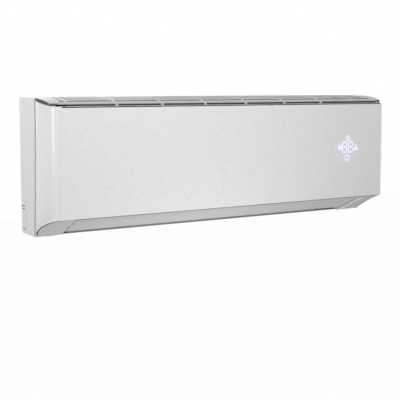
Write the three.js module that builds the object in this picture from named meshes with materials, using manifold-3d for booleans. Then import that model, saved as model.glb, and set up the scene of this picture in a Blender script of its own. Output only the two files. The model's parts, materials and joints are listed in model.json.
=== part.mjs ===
// Indoor unit of a split air conditioner, hung on a wall.
// Millimetres. X runs along the wall to the viewer's right, Y runs from the room into the wall,
// Z is up. Inside the `unit` group Y = 0 is the front of the panel and Z = 0 the underside;
// the group is then moved so that the origin lies on the wall, at the middle of the unit.
import * as THREE from 'three';
import { mergeVertices } from 'three/addons/utils/BufferGeometryUtils.js';
import Module from 'manifold-3d';

const wasm = await Module();
wasm.setup();

// ---------------------------------------------------------------- driving dimensions
const WIDTH = 960;
const HEIGHT = 320;
const DEPTH = 205;
const HALF = WIDTH / 2;
const SKIN = 3;                  // thickness of the outer mouldings
const SLIT = 1.2;                // visible slit between outer pieces

// front panel
const CORNER_X = 16;             // the panel rounds off over the last 16 mm of its width
const CORNER_Y = 112;            // and keeps curving this far round the end
const CORNER_POWER = 2.2;        // superellipse exponent of that corner
const PANEL_TOP = 298;
const PANEL_BOTTOM = 52;
const PANEL_LEAN = 2;            // the foot of the panel stands this far behind its top
const LEAN_REACH = 60;           // and the lean dies out this far round the ends
const LIP_DEPTH = 14;            // top lip of the panel, front to back
const HINGE_Y = 13;
const HINGE_Z = 296;
const HINGE_X = 447.5;           // middle of each hinge bracket
const PIN_RADIUS = 2.5;
const POCKET_HALF = 9;           // hinge pocket in the lip, half its length

// seam between the end casings and the panel, from its top to its foot
const SEAM_TOP = [102, 313];
const SEAM_FOOT = [118, 3];
const SEAM_GROOVE = 4.5;         // width of the groove at that seam

// intake grille
const GRILLE_FRONT = 24;
const GRILLE_FRONT_Z = 308;
const GRILLE_ROOF = 125;         // the roof is level from here back to the wall
const RIB_PITCH = 117;
const RIB_FIRST = -433;
const RIB_COUNT = 8;
const RIB_WIDTH = 5;
const SLAT_PITCH = 17;
const SLAT_BAR = 5;
const SLAT_ROWS = 9;
const LADDER_PITCH = 11;         // openings of the vented walls at the ends of the grille
const LADDER_SLOT = 7;

// flap and cheeks below the panel; the outlet sits left of the middle
const FLAP_LEFT = -424;
const FLAP_RIGHT = 405;
const FLAP_AXIS_Y = 118;
const FLAP_AXIS_Z = 15;
const FLAP_THICK = 6;
const CHEEK_INSET = 3.8;         // the cheeks stand inside the panel's wings
const CHEEK_REAR = 118.2;
const CHEEK_BELLY = 5.3;

// air duct
const FAN_Y = 118;
const FAN_Z = 118;
const FAN_RADIUS = 48;
const DUCT_LEFT = -432;
const DUCT_RIGHT = 336;
const END_WALL = 4;
const SCROLL_START = -40;        // the scroll wall runs from 40 degrees above the fan's level, at the rear,
const SCROLL_END = 85;           // to nearly straight below the fan
const SCROLL_RADIUS = 52;
const SCROLL_GROWTH = 0.3434;    // per radian
const BACK_Y = 199;              // rear face of the chassis
const CHASSIS_HALF = 455;

// swing vanes
const VANE_COUNT = 12;
const VANE_GROUP = 6;
const VANE_FIRST = -396;
const VANE_PITCH = 64;
const VANE_FOOT = 68;            // place of the vane feet on the scroll, degrees
const LINK_ALONG = 42;           // link pin, downstream of the foot
const LINK_HEIGHT = 46;          // link pin, above the floor
const BLADE_THICK = 1.6;
const LINK_PIN_RADIUS = 1.6;

// coil, electrics
const COIL_LEFT = -426;
const COIL_RIGHT = 322;
const COIL_THICK = 26;
const LOWER_COIL_FOOT = [28, 86];  // front lower corner (y, z) of each coil section
const UPPER_COIL_FOOT = [28, 216];
const REAR_COIL_FOOT = [170.8, 182.2];
const COIL_CHANNELS = 6;
const COIL_WEB = 3.4;            // walls between and around those channels
const BEND_PIPE = 3.2;
const BOX_LEFT = 346;
const BOX_RIGHT = 446;
const BOX_BOTTOM = 76;
const BOX_TOP = 276;
const BOX_FRONT = 18;
const BOX_REAR = 70;
const DISPLAY_X = 344;           // middle of the lit symbols on the panel
const DISPLAY_Z = 185;
const BUTTON_X = 400;            // manual-run button
const BUTTON_Z = 96;
const SCREW_X = [-380, -8, 320];
const SCREW_Z = 74;

// pipes that leave through the channel behind the scroll
const GAS_RADIUS = 6.35;
const GAS_EXIT = [184, 14];      // y and z of each pipe where it runs along the channel
const LIQUID_RADIUS = 3.2;
const LIQUID_EXIT = [187, 38];
const HOSE_RADIUS = 7;
const HOSE_EXIT = [166, 13];
const PIPE_END = 64;             // the pipes end here, with their flare nuts
const HOSE_END = 150;

// cross-flow fan
const FAN_LEFT = COIL_LEFT;
const FAN_RIGHT = 328;
const FAN_BLADES = 22;
const FAN_DISCS = 4;
const SHAFT_RADIUS = 5;

// mounting plate
const PLATE_THICK = 1.5;
const PLATE_SLOT_X = [-340, -200, 200, 340];
const PLATE_SLOT_Z = [90, 250];
const HOOK_X = 300;
const HOOK_HALF = 18;

const DEG = Math.PI / 180;

// ---------------------------------------------------------------- solids and joins
function toSolid(geometry) {
  const bare = geometry.clone();
  bare.deleteAttribute('normal');
  bare.deleteAttribute('uv');
  const merged = mergeVertices(bare, 1e-4);
  return new wasm.Manifold(new wasm.Mesh({
    numProp: 3,
    vertProperties: new Float32Array(merged.attributes.position.array),
    triVerts: new Uint32Array(merged.index.array),
  }));
}

function toGeometry(solid) {
  const mesh = solid.getMesh();
  const geometry = new THREE.BufferGeometry();
  geometry.setAttribute('position', new THREE.BufferAttribute(new Float32Array(mesh.vertProperties), 3));
  geometry.setIndex(new THREE.BufferAttribute(new Uint32Array(mesh.triVerts), 1));
  return geometry;
}

function join(...solids) {
  return solids.reduce((whole, piece) => whole.add(piece));
}

function cut(solid, ...tools) {
  return tools.reduce((rest, tool) => rest.subtract(tool), solid);
}

// an outline drawn in (first, second) axes and extruded along the third from `low` to `high`
function extrude(points, low, high, first, second) {
  const shape = new THREE.Shape(points.map(([a, b]) => new THREE.Vector2(a, b)));
  const geometry = new THREE.ExtrudeGeometry(shape, { depth: high - low, bevelEnabled: false });
  const third = new THREE.Vector3().crossVectors(first, second);
  geometry.applyMatrix4(new THREE.Matrix4().makeBasis(first, second, third));
  const start = third.dot(new THREE.Vector3(1, 1, 1)) > 0 ? low : -high;
  geometry.translate(third.x * start, third.y * start, third.z * start);
  return toSolid(geometry);
}

const X = new THREE.Vector3(1, 0, 0);
const Y = new THREE.Vector3(0, 1, 0);
const Z = new THREE.Vector3(0, 0, 1);

const alongX = (points, low, high) => extrude(points, low, high, Y, Z);   // points (y, z)
const alongY = (points, low, high) => extrude(points, low, high, X, Z);   // points (x, z)
const alongZ = (points, low, high) => extrude(points, low, high, X, Y);   // points (x, y)

function box(x0, x1, y0, y1, z0, z1) {
  const geometry = new THREE.BoxGeometry(x1 - x0, y1 - y0, z1 - z0);
  geometry.translate((x0 + x1) / 2, (y0 + y1) / 2, (z0 + z1) / 2);
  return toSolid(geometry);
}

// a rod from one point to another
function rod(from, to, radius, sides = 20) {
  const start = new THREE.Vector3(...from);
  const way = new THREE.Vector3(...to).sub(start);
  const geometry = new THREE.CylinderGeometry(radius, radius, way.length(), sides);
  geometry.translate(0, way.length() / 2, 0);
  const turn = new THREE.Quaternion().setFromUnitVectors(Y, way.clone().normalize());
  geometry.applyQuaternion(turn);
  geometry.translate(start.x, start.y, start.z);
  return toSolid(geometry);
}

const rodX = (y, z, radius, x0, x1, sides) => rod([x0, y, z], [x1, y, z], radius, sides);

function tube(points, radius, steps, sides = 10) {
  const path = new THREE.CatmullRomCurve3(points.map((p) => new THREE.Vector3(...p)), false, 'centripetal');
  const circle = new THREE.Shape();
  for (let i = 0; i < sides; i += 1) {
    const angle = (i / sides) * 2 * Math.PI;
    circle[i ? 'lineTo' : 'moveTo'](radius * Math.cos(angle), radius * Math.sin(angle));
  }
  return toSolid(new THREE.ExtrudeGeometry(circle, { steps, extrudePath: path, curveSegments: 1 }));
}

// a polyline moved sideways by `distance`, to its left
function offset(points, distance) {
  return points.map((point, i) => {
    const before = points[Math.max(i - 1, 0)];
    const after = points[Math.min(i + 1, points.length - 1)];
    const a = new THREE.Vector2(point[0] - before[0], point[1] - before[1]).normalize();
    const b = new THREE.Vector2(after[0] - point[0], after[1] - point[1]).normalize();
    const way = a.clone().add(b).normalize();
    const stretch = distance / Math.max(way.dot(b.length() ? b : a), 0.5);
    return [point[0] - way.y * stretch, point[1] + way.x * stretch];
  });
}

// a strip of even thickness along a polyline
const strip = (points, thickness) => [...points, ...offset(points, thickness).reverse()];

const mirrored = (points) => points.map(([a, b]) => [-a, b]).reverse();

function bezier(points, divisions) {
  const [a, b, c, d] = points.map(([p, q]) => new THREE.Vector2(p, q));
  return new THREE.CubicBezierCurve(a, b, c, d).getPoints(divisions).map((p) => [p.x, p.y]);
}

// ---------------------------------------------------------------- shared outlines
// plan of the panel's right-hand corner, from the end (rear) round to the flat front
function cornerPlan(inset, divisions = 14) {
  const points = [];
  for (let i = 0; i <= divisions; i += 1) {
    const angle = (i / divisions) * 90 * DEG;
    const x = HALF - CORNER_X + CORNER_X * Math.cos(angle) ** (2 / CORNER_POWER);
    const y = CORNER_Y * (1 - Math.sin(angle) ** (2 / CORNER_POWER));
    points.push([x, y]);
  }
  return inset ? offset(points, -inset) : points;
}

// U-shaped plan of the whole panel, open at the rear
function panelPlan(inset, rear) {
  const right = cornerPlan(inset);
  right[0][1] = CORNER_Y;
  right[right.length - 1] = [HALF - CORNER_X, inset];
  return [[HALF - inset, rear], ...right, ...mirrored(right), [inset - HALF, rear]];
}

// block above the panel, ahead of the seam and as wide as the panel
function frontPlan(inset) {
  const ahead = box(-HALF, HALF, -5, SEAM_TOP[0], 250, HEIGHT + 5);
  return alongZ(panelPlan(inset, 130), 250, HEIGHT + 5).intersect(ahead);
}

const roofLine = bezier(
  [[GRILLE_FRONT, GRILLE_FRONT_Z], [45, 315], [80, HEIGHT], [GRILLE_ROOF, HEIGHT]], 6);
const wingTop = [[-5, PANEL_TOP], [0, PANEL_TOP], [18, 301], [48, 304.6], [78, 308.2], SEAM_TOP];
const seamLine = [SEAM_TOP, [102.5, 269], [106.5, 178], [111.5, 87], [117.5, 15], SEAM_FOOT];
const wingFoot = bezier([[3, PANEL_BOTTOM], [60, 38], [115, 21], SEAM_FOOT], 10);

// height of the wing's lower edge at a given depth behind the front
function wingFootHeight(y) {
  const after = wingFoot.findIndex((point) => point[0] >= y);
  if (after <= 0) {
    return after === 0 ? PANEL_BOTTOM : SEAM_FOOT[1];
  }
  const [y0, z0] = wingFoot[after - 1];
  const [y1, z1] = wingFoot[after];
  return z0 + ((z1 - z0) * (y - y0)) / (y1 - y0);
}

// underside below the panel: a straight slope that levels out towards the rear
function underside(start, end, belly, divisions) {
  const points = [];
  for (let i = 0; i <= divisions; i += 1) {
    const t = i / divisions;
    const sag = (belly * t ** 4 * (1 - t)) / 0.0819;
    points.push([start[0] + (end[0] - start[0]) * t, start[1] + (end[1] - start[1]) * t - sag]);
  }
  return points;
}

function scrollPoint(degrees, extra = 0) {
  const turn = (degrees - SCROLL_START) * DEG;
  const radius = SCROLL_RADIUS * Math.exp(SCROLL_GROWTH * turn) + extra;
  return [FAN_Y + radius * Math.cos(degrees * DEG), FAN_Z - radius * Math.sin(degrees * DEG)];
}

// ---------------------------------------------------------------- outer mouldings
function frontPanel() {
  const walls = alongZ(panelPlan(0, 130), 0, HEIGHT).subtract(alongZ(panelPlan(SKIN, 140), -1, HEIGHT + 1));
  const profile = [...wingTop, ...seamLine.slice(1), ...[...wingFoot].reverse(), [-5, PANEL_BOTTOM]];
  const shell = walls.intersect(alongX(profile, -HALF - 5, HALF + 5));
  const inner = HALF - CORNER_X - 2;
  const lipOutline = [[SKIN - 1, 295.6], [SKIN - 1, 298.2], [LIP_DEPTH, 300.2], [LIP_DEPTH, 297.6]];
  const lip = alongX(lipOutline, -inner, inner);
  const rail = box(-inner, inner, SKIN - 1, 7, PANEL_BOTTOM + 3, PANEL_BOTTOM + 5.5);
  let panel = join(shell, lip, rail);
  for (const side of [-1, 1]) {
    const pocket = [side * (HINGE_X + 6) - POCKET_HALF, side * (HINGE_X + 6) + POCKET_HALF];
    panel = panel.subtract(box(...pocket, SKIN + 2, LIP_DEPTH + 1, 290, 305));
    const arm = side * (HINGE_X - 6.5);
    const armPlate = box(arm - 1.8, arm + 1.8, SKIN - 1, 16, 292.5, 299);
    const pin = rod([arm, HINGE_Y, HINGE_Z], [arm + side * 10, HINGE_Y, HINGE_Z], PIN_RADIUS, 16);
    panel = join(panel, armPlate, pin);
  }
  return lean(panel);
}

// the front of the panel leans back a little towards its foot; the wings' rear edges stay put
function leanAt(y, z) {
  const ahead = Math.max(0, 1 - y / LEAN_REACH);
  const down = Math.max(0, (PANEL_TOP - z) / (PANEL_TOP - PANEL_BOTTOM));
  return PANEL_LEAN * ahead * down;
}

function lean(solid) {
  const geometry = toGeometry(solid);
  const position = geometry.attributes.position;
  for (let i = 0; i < position.count; i += 1) {
    position.setY(i, position.getY(i) + leanAt(position.getY(i), position.getZ(i)));
  }
  return geometry;
}

function sideCasing(side) {
  const seam = offset(seamLine, SEAM_GROOVE);
  const outline = [
    ...seam.slice(1), [121, 0], [DEPTH - 7, 0], [DEPTH - 2, 2], [DEPTH, 7], [DEPTH, HEIGHT - 7],
    [DEPTH - 2, HEIGHT - 2], [DEPTH - 7, HEIGHT], [GRILLE_ROOF, HEIGHT], [seam[0][0] + 0.5, 319.2],
  ];
  const inner = shrink(outline, SKIN);
  const low = side < 0 ? -HALF : HALF - 24;
  const high = side < 0 ? 24 - HALF : HALF;
  const hollow = side < 0 ? [low + SKIN, high + 1] : [low - 1, high - SKIN];
  let casing = alongX(outline, low, high).subtract(alongX(inner, ...hollow));
  const joggleX = side < 0 ? [-HALF + 3.6, -HALF + 6.6] : [HALF - 6.6, HALF - 3.6];
  const seamUp = [[SEAM_TOP[0], HEIGHT], ...seamLine];
  const joggle = alongX([...offset(seamUp, SEAM_GROOVE + 2), ...offset(seamUp, -4).reverse()], ...joggleX);
  const clear = join(
    box(...joggleX, 90, 130, 24, 311),
    box(...joggleX, SEAM_TOP[0] + 0.4, 130, 24, HEIGHT - SKIN),
    box(...joggleX, CHEEK_REAR + 0.6, 130, 1, 311));
  casing = join(casing, joggle.intersect(clear));
  const slots = [[180, 200, 64.5], [180, 200, 57.5], [178, 197, 10.5]];
  for (const [y0, y1, z] of slots) {
    casing = casing.subtract(box(side * HALF - 4, side * HALF + 4, y0, y1, z - 1.2, z + 1.2));
  }
  return casing;
}

// a closed convex-ish outline drawn in by `distance`
function shrink(points, distance) {
  const count = points.length;
  const area = points.reduce((sum, [a, b], i) => {
    const [c, d] = points[(i + 1) % count];
    return sum + a * d - c * b;
  }, 0);
  const inward = Math.sign(area) * distance;
  return points.map((point, i) => {
    const ring = [points[(i + count - 1) % count], point, points[(i + 1) % count]];
    return offset(ring, inward)[1];
  });
}

function topGrille() {
  const rear = DEPTH - 7;
  const under = offset(roofLine, -SKIN);
  const profile = [...roofLine, [rear, HEIGHT], [rear, HEIGHT - SKIN], ...[...under].reverse()];
  const plan = frontPlan(0).add(box(24.4 - HALF, HALF - 24.4, 60, rear, 250, HEIGHT + 5));
  let grille = alongX(profile, -HALF, HALF).intersect(plan);
  for (let bay = -1; bay < RIB_COUNT; bay += 1) {
    const x0 = Math.max(RIB_FIRST + bay * RIB_PITCH + RIB_WIDTH / 2, 32 - HALF);
    const x1 = Math.min(RIB_FIRST + (bay + 1) * RIB_PITCH - RIB_WIDTH / 2, HALF - 32);
    for (let row = 0; row < SLAT_ROWS; row += 1) {
      const y0 = GRILLE_FRONT + 10 + row * SLAT_PITCH;
      grille = grille.subtract(box(x0, x1, y0, y0 + SLAT_PITCH - SLAT_BAR, 290, HEIGHT + 5));
    }
  }
  const apron = box(-HALF + 22, HALF - 22, GRILLE_FRONT, GRILLE_FRONT + 2.5, 296, GRILLE_FRONT_Z - 1);
  grille = grille.add(apron);
  for (let rib = 0; rib < RIB_COUNT; rib += 1) {
    const x = RIB_FIRST + rib * RIB_PITCH;
    grille = grille.add(box(x - RIB_WIDTH / 2, x + RIB_WIDTH / 2, 17.5, GRILLE_FRONT + 1, 299, 306.5));
  }
  return join(grille, endLadder(-1), endLadder(1));
}

// the vented wall that closes each end of the grille above the panel's wing
function endLadder(side) {
  const plan = frontPlan(0).subtract(alongZ(panelPlan(2.5, 140), 249, HEIGHT + 6));
  const low = wingTop.slice(2).map(([y, z]) => [y, z + SLIT]);
  const band = [[GRILLE_FRONT, low[0][1] + 0.7], ...low.slice(1), ...offset(roofLine, -1).reverse()];
  const reach = side < 0 ? [-HALF - 1, -HALF + 20] : [HALF - 20, HALF + 1];
  let wall = plan.intersect(alongX(band, ...reach));
  for (let y = GRILLE_FRONT + 5; y < SEAM_TOP[0] - 4; y += LADDER_PITCH) {
    const floor = 302.5 + (y - 18) * 0.125 + SLIT;
    wall = wall.subtract(box(...reach, y, y + LADDER_SLOT, floor + 1, floor + 6));
  }
  return wall;
}

function cheek(side) {
  const seamX = side < 0 ? -FLAP_LEFT : FLAP_RIGHT;
  const columns = 10;
  const rows = 7;
  const corner = cornerPlan(CHEEK_INSET, 28).reverse().filter(([, y]) => y < 104);
  const upper = [];
  for (let i = 0; i < 4; i += 1) {
    upper.push([seamX + ((HALF - CORNER_X - seamX) * i) / 4, CHEEK_INSET]);
  }
  upper.push(...corner);
  const lengths = [0];
  upper.slice(1).forEach(([x, y], i) => {
    lengths.push(lengths[i] + Math.hypot(x - upper[i][0], y - upper[i][1]));
  });
  const total = lengths[lengths.length - 1];
  const at = (share) => {
    const want = share * total;
    const k = Math.max(1, lengths.findIndex((length) => length >= want - 1e-9));
    const f = (want - lengths[k - 1]) / (lengths[k] - lengths[k - 1]);
    return upper[k].map((value, axis) => upper[k - 1][axis] + (value - upper[k - 1][axis]) * f);
  };
  const grid = [];
  for (let i = 0; i <= columns; i += 1) {
    const share = i / columns;
    const [x, depth] = at(share);
    const footX = seamX + (HALF - CHEEK_INSET - seamX) * share;
    const z = wingFootHeight(depth) - SLIT;
    const y = depth + leanAt(depth, z);
    const line = underside([y, z], [CHEEK_REAR, 1.5], CHEEK_BELLY * (1 - share), rows);
    grid.push(line.map(([yy, zz], j) => [x + ((footX - x) * j) / rows, yy, zz]));
  }
  const shell = sheetSolid(grid, SKIN);
  const profile = grid[0].map(([, y, z]) => [y, z]);
  const top = [[CHEEK_REAR, 32], [100, 34], [30, 50.5]];
  const web = alongX([...profile, ...top], seamX, seamX + 3);
  const hole = rodX(FLAP_AXIS_Y, FLAP_AXIS_Z, 3.5, seamX - 1, seamX + 5, 16);
  const boss = alongX([[106, 6], [CHEEK_REAR + 8, 6], [CHEEK_REAR + 8, 27], [106, 27]], seamX, seamX + 3);
  const whole = join(shell, web, boss).subtract(hole);
  return side < 0 ? flip(toGeometry(whole)) : toGeometry(whole);
}

// mirror a geometry across the middle of the unit
function flip(geometry) {
  geometry.scale(-1, 1, 1);
  const index = geometry.index.array;
  for (let i = 0; i < index.length; i += 3) {
    [index[i], index[i + 1]] = [index[i + 1], index[i]];
  }
  return geometry;
}

// a curved sheet given as rows of points, thickened upwards into a closed solid
function sheetSolid(grid, thickness) {
  const columns = grid.length;
  const rows = grid[0].length;
  const positions = [];
  for (const lift of [0, thickness]) {
    grid.forEach((line) => line.forEach(([x, y, z]) => positions.push(x, y, z + lift)));
  }
  const id = (layer, i, j) => layer * columns * rows + i * rows + j;
  const faces = [];
  const quad = (a, b, c, d) => faces.push(a, b, c, a, c, d);
  for (let i = 0; i < columns - 1; i += 1) {
    for (let j = 0; j < rows - 1; j += 1) {
      quad(id(0, i, j), id(0, i, j + 1), id(0, i + 1, j + 1), id(0, i + 1, j));
      quad(id(1, i, j), id(1, i + 1, j), id(1, i + 1, j + 1), id(1, i, j + 1));
    }
  }
  for (let i = 0; i < columns - 1; i += 1) {
    quad(id(0, i + 1, 0), id(1, i + 1, 0), id(1, i, 0), id(0, i, 0));
    quad(id(0, i, rows - 1), id(1, i, rows - 1), id(1, i + 1, rows - 1), id(0, i + 1, rows - 1));
  }
  for (let j = 0; j < rows - 1; j += 1) {
    quad(id(0, 0, j), id(1, 0, j), id(1, 0, j + 1), id(0, 0, j + 1));
    quad(id(0, columns - 1, j + 1), id(1, columns - 1, j + 1), id(1, columns - 1, j), id(0, columns - 1, j));
  }
  const geometry = new THREE.BufferGeometry();
  geometry.setAttribute('position', new THREE.Float32BufferAttribute(positions, 3));
  geometry.setIndex(faces);
  return toSolid(geometry);
}

function flap() {
  const outer = underside([5, PANEL_BOTTOM - 1.6], [125, 9.5], 8.5, 12);
  const inner = offset(outer, FLAP_THICK).map(([y, z]) => [y, Math.min(z, PANEL_BOTTOM - 1.6)]);
  const body = alongX([...outer, ...inner.reverse()], FLAP_LEFT + 1.3, FLAP_RIGHT - 1.3);
  const pins = rodX(FLAP_AXIS_Y, FLAP_AXIS_Z, 3, FLAP_LEFT - 5, FLAP_RIGHT + 7, 16);
  return join(body, pins);
}

function flapMotor() {
  const can = rodX(FLAP_AXIS_Y, FLAP_AXIS_Z, 9.5, FLAP_RIGHT + 4, FLAP_RIGHT + 20, 20);
  return can.subtract(rodX(FLAP_AXIS_Y, FLAP_AXIS_Z, 3.5, FLAP_RIGHT + 3, FLAP_RIGHT + 9, 16));
}

// ---------------------------------------------------------------- chassis and air path
function rearChassis() {
  const back = box(-CHASSIS_HALF, CHASSIS_HALF, BACK_Y - SKIN, BACK_Y, 0.6, 312);
  const floor = box(-CHASSIS_HALF, CHASSIS_HALF, 128.6, BACK_Y - 1, 0.6, 3.6);
  const leftFoot = box(-CHASSIS_HALF, FLAP_LEFT - 3.6, 119, 130, 0.6, 3.6);
  const rightFoot = box(FLAP_RIGHT + 3.6, CHASSIS_HALF, 119, 130, 0.6, 3.6);
  const scroll = [];
  for (let degrees = SCROLL_START; degrees <= SCROLL_END; degrees += 12.5) {
    scroll.push(degrees);
  }
  const face = scroll.map((degrees) => scrollPoint(degrees));
  const rearFace = scroll.map((degrees) => scrollPoint(degrees, SKIN));
  const shelf = [[BACK_Y - 1, 157], [BACK_Y - 1, 166]];
  const guide = alongX([...face, [128.6, 0.8], [134, 0.8], ...rearFace.slice(1, -1).reverse(), ...shelf],
    DUCT_LEFT - END_WALL, DUCT_RIGHT + END_WALL);
  const wallOutline = [
    [22, 60], [22, 268], [104, 303], [BACK_Y - 1, 303], [BACK_Y - 1, 2], [128.6, 2], [128.6, 24],
    [108, 27], [84, 31], [40, 49],
  ];
  let chassis = join(back, floor, leftFoot, rightFoot, guide);
  for (const x of [DUCT_LEFT - END_WALL, DUCT_RIGHT]) {
    const wall = alongX(wallOutline, x, x + END_WALL);
    const channel = alongX([[178, 5], [194, 5], [194, 52], [178, 52]], x - 1, x + END_WALL + 1);
    const hose = rodX(...HOSE_EXIT, HOSE_RADIUS + 1, x - 1, x + END_WALL + 1, 16);
    const gas = rodX(...GAS_EXIT, GAS_RADIUS + 0.85, x - 1, x + END_WALL + 1, 16);
    chassis = chassis.add(cut(wall, channel, hose, gas));
  }
  const hub = rodX(FAN_Y, FAN_Z, 16, DUCT_LEFT - END_WALL - 1, DUCT_LEFT + 1, 24);
  const motorHole = rodX(FAN_Y, FAN_Z, 20, DUCT_RIGHT - 1, DUCT_RIGHT + END_WALL + 1, 24);
  chassis = cut(chassis, hub, motorHole);
  for (let vane = 0; vane < VANE_COUNT; vane += 1) {
    chassis = chassis.subtract(vaneRod(vane, -8, 4, 2.8, 8));
  }
  for (const x of [-HOOK_X, HOOK_X]) {
    const slot = [x - HOOK_HALF - 6, x + HOOK_HALF + 6];
    chassis = chassis.subtract(box(...slot, BACK_Y - 5, BACK_Y + 1, 270, 292));
  }
  return chassis;
}

const vaneX = (vane) => VANE_FIRST + vane * VANE_PITCH;

// directions at the vane feet: `down` follows the air, `out` stands square on the scroll
function vaneAxes() {
  const [y, z] = scrollPoint(VANE_FOOT);
  const [y1, z1] = scrollPoint(VANE_FOOT + 0.01);
  const down = new THREE.Vector3(0, y1 - y, z1 - z).normalize();
  const out = new THREE.Vector3(0, down.z, -down.y);
  return { foot: new THREE.Vector3(0, y, z), down, out };
}

function vanePoint(vane, along, height) {
  const { foot, down, out } = vaneAxes();
  const point = foot.clone().addScaledVector(down, along).addScaledVector(out, height);
  return [vaneX(vane), point.y, point.z];
}

function vaneRod(vane, low, high, radius, sides, along = 0) {
  return rod(vanePoint(vane, along, low), vanePoint(vane, along, high), radius, sides);
}

function vane(number) {
  const outline = [
    [-14, 5.5], [-8, 3], [8, 3], [22, 5], [24, 27], [47, 37], [49, LINK_HEIGHT], [20, LINK_HEIGHT],
    [-14, 37],
  ].map(([along, height]) => vanePoint(number, along, height).slice(1));
  const blade = alongX(outline, vaneX(number) - BLADE_THICK / 2, vaneX(number) + BLADE_THICK / 2);
  const disc = vaneRod(number, 1.4, 3.8, 5, 8);
  const pin = vaneRod(number, -3.4, 2, 2.2, 8);
  const linkPin = vaneRod(number, LINK_HEIGHT - 2, LINK_HEIGHT + 4.6, LINK_PIN_RADIUS, 6, LINK_ALONG);
  return join(blade, disc, pin, linkPin);
}

function vaneLink(first) {
  const last = first + VANE_GROUP - 1;
  const section = [[-3.6, 2.8], [3.6, 2.8], [3.6, 0.6], [-3.6, 0.6]].map(([along, height]) => {
    return vanePoint(first, LINK_ALONG + along, LINK_HEIGHT + height).slice(1);
  });
  let bar = alongX(section, vaneX(first) - 5, vaneX(last) + 5);
  for (let number = first; number <= last; number += 1) {
    const radius = LINK_PIN_RADIUS + 0.5;
    bar = bar.subtract(vaneRod(number, LINK_HEIGHT - 1, LINK_HEIGHT + 6, radius, 8, LINK_ALONG));
  }
  return bar;
}

function vaneMotor(number) {
  const can = vaneRod(number, -17, -5.2, 11, 20);
  const bore = vaneRod(number, -9, -3, 2.8, 12);
  const boss = vaneRod(number, -5.6, -3.8, 4.6, 16);
  return cut(join(can, boss), bore);
}

function crossFlowFan() {
  const outline = [[36, -0.6], [36, 0.8], [FAN_RADIUS - 1.2, 7.6], [FAN_RADIUS - 0.8, 6.4]];
  let fan = rodX(FAN_Y, FAN_Z, FAN_RADIUS, FAN_LEFT, FAN_LEFT + 3, 22);
  for (let i = 1; i < FAN_DISCS; i += 1) {
    const x = FAN_LEFT + ((FAN_RIGHT - FAN_LEFT - 3) * i) / (FAN_DISCS - 1);
    let disc = rodX(FAN_Y, FAN_Z, FAN_RADIUS, x, x + 3, 22);
    if (i < FAN_DISCS - 1) {
      disc = disc.subtract(rodX(FAN_Y, FAN_Z, 34, x - 1, x + 4, 16));
    }
    fan = fan.add(disc);
  }
  for (let i = 0; i < FAN_BLADES; i += 1) {
    const turn = (i / FAN_BLADES) * 2 * Math.PI;
    const placed = outline.map(([radial, side]) => [
      FAN_Y + radial * Math.cos(turn) - side * Math.sin(turn),
      FAN_Z + radial * Math.sin(turn) + side * Math.cos(turn),
    ]);
    fan = fan.add(alongX(placed, FAN_LEFT + 1, FAN_RIGHT - 1));
  }
  const stub = rodX(FAN_Y, FAN_Z, SHAFT_RADIUS, DUCT_LEFT - 12, FAN_LEFT + 2, 16);
  const hub = rodX(FAN_Y, FAN_Z, 12, FAN_RIGHT - 16, FAN_RIGHT - 1, 20);
  const bore = rodX(FAN_Y, FAN_Z, SHAFT_RADIUS + 0.05, FAN_RIGHT - 14, FAN_RIGHT + 2, 16);
  return join(fan, stub, hub).subtract(bore);
}

function fanBearing() {
  const body = rodX(FAN_Y, FAN_Z, 15.6, DUCT_LEFT - END_WALL - 4, DUCT_LEFT - 0.4, 24);
  return body.subtract(rodX(FAN_Y, FAN_Z, SHAFT_RADIUS + 0.2, DUCT_LEFT - 20, DUCT_LEFT + 2, 16));
}

function fanMotor() {
  const can = rodX(FAN_Y, FAN_Z, 40, 350, 396, 28);
  const nose = rodX(FAN_Y, FAN_Z, 17, 342, 352, 24);
  const tail = rodX(FAN_Y, FAN_Z, 14, 394, 404, 24);
  return cut(join(can, nose, tail), rodX(FAN_Y, FAN_Z, SHAFT_RADIUS + 0.2, 341, 372, 16));
}

// sheet clamp that holds the motor to the chassis back
function motorClamp() {
  const x0 = 374;
  const x1 = 390;
  const ring = rodX(FAN_Y, FAN_Z, 43.4, x0, x1, 28).subtract(rodX(FAN_Y, FAN_Z, 40.6, x0 - 1, x1 + 1, 28));
  const legs = [FAN_Z - 30, FAN_Z + 28].map((z) => box(x0, x1, FAN_Y + 28, BACK_Y - SKIN - 0.4, z, z + 2.5));
  return cut(join(ring, ...legs), rodX(FAN_Y, FAN_Z, 40.6, x0 - 1, x1 + 1, 28));
}

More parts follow.
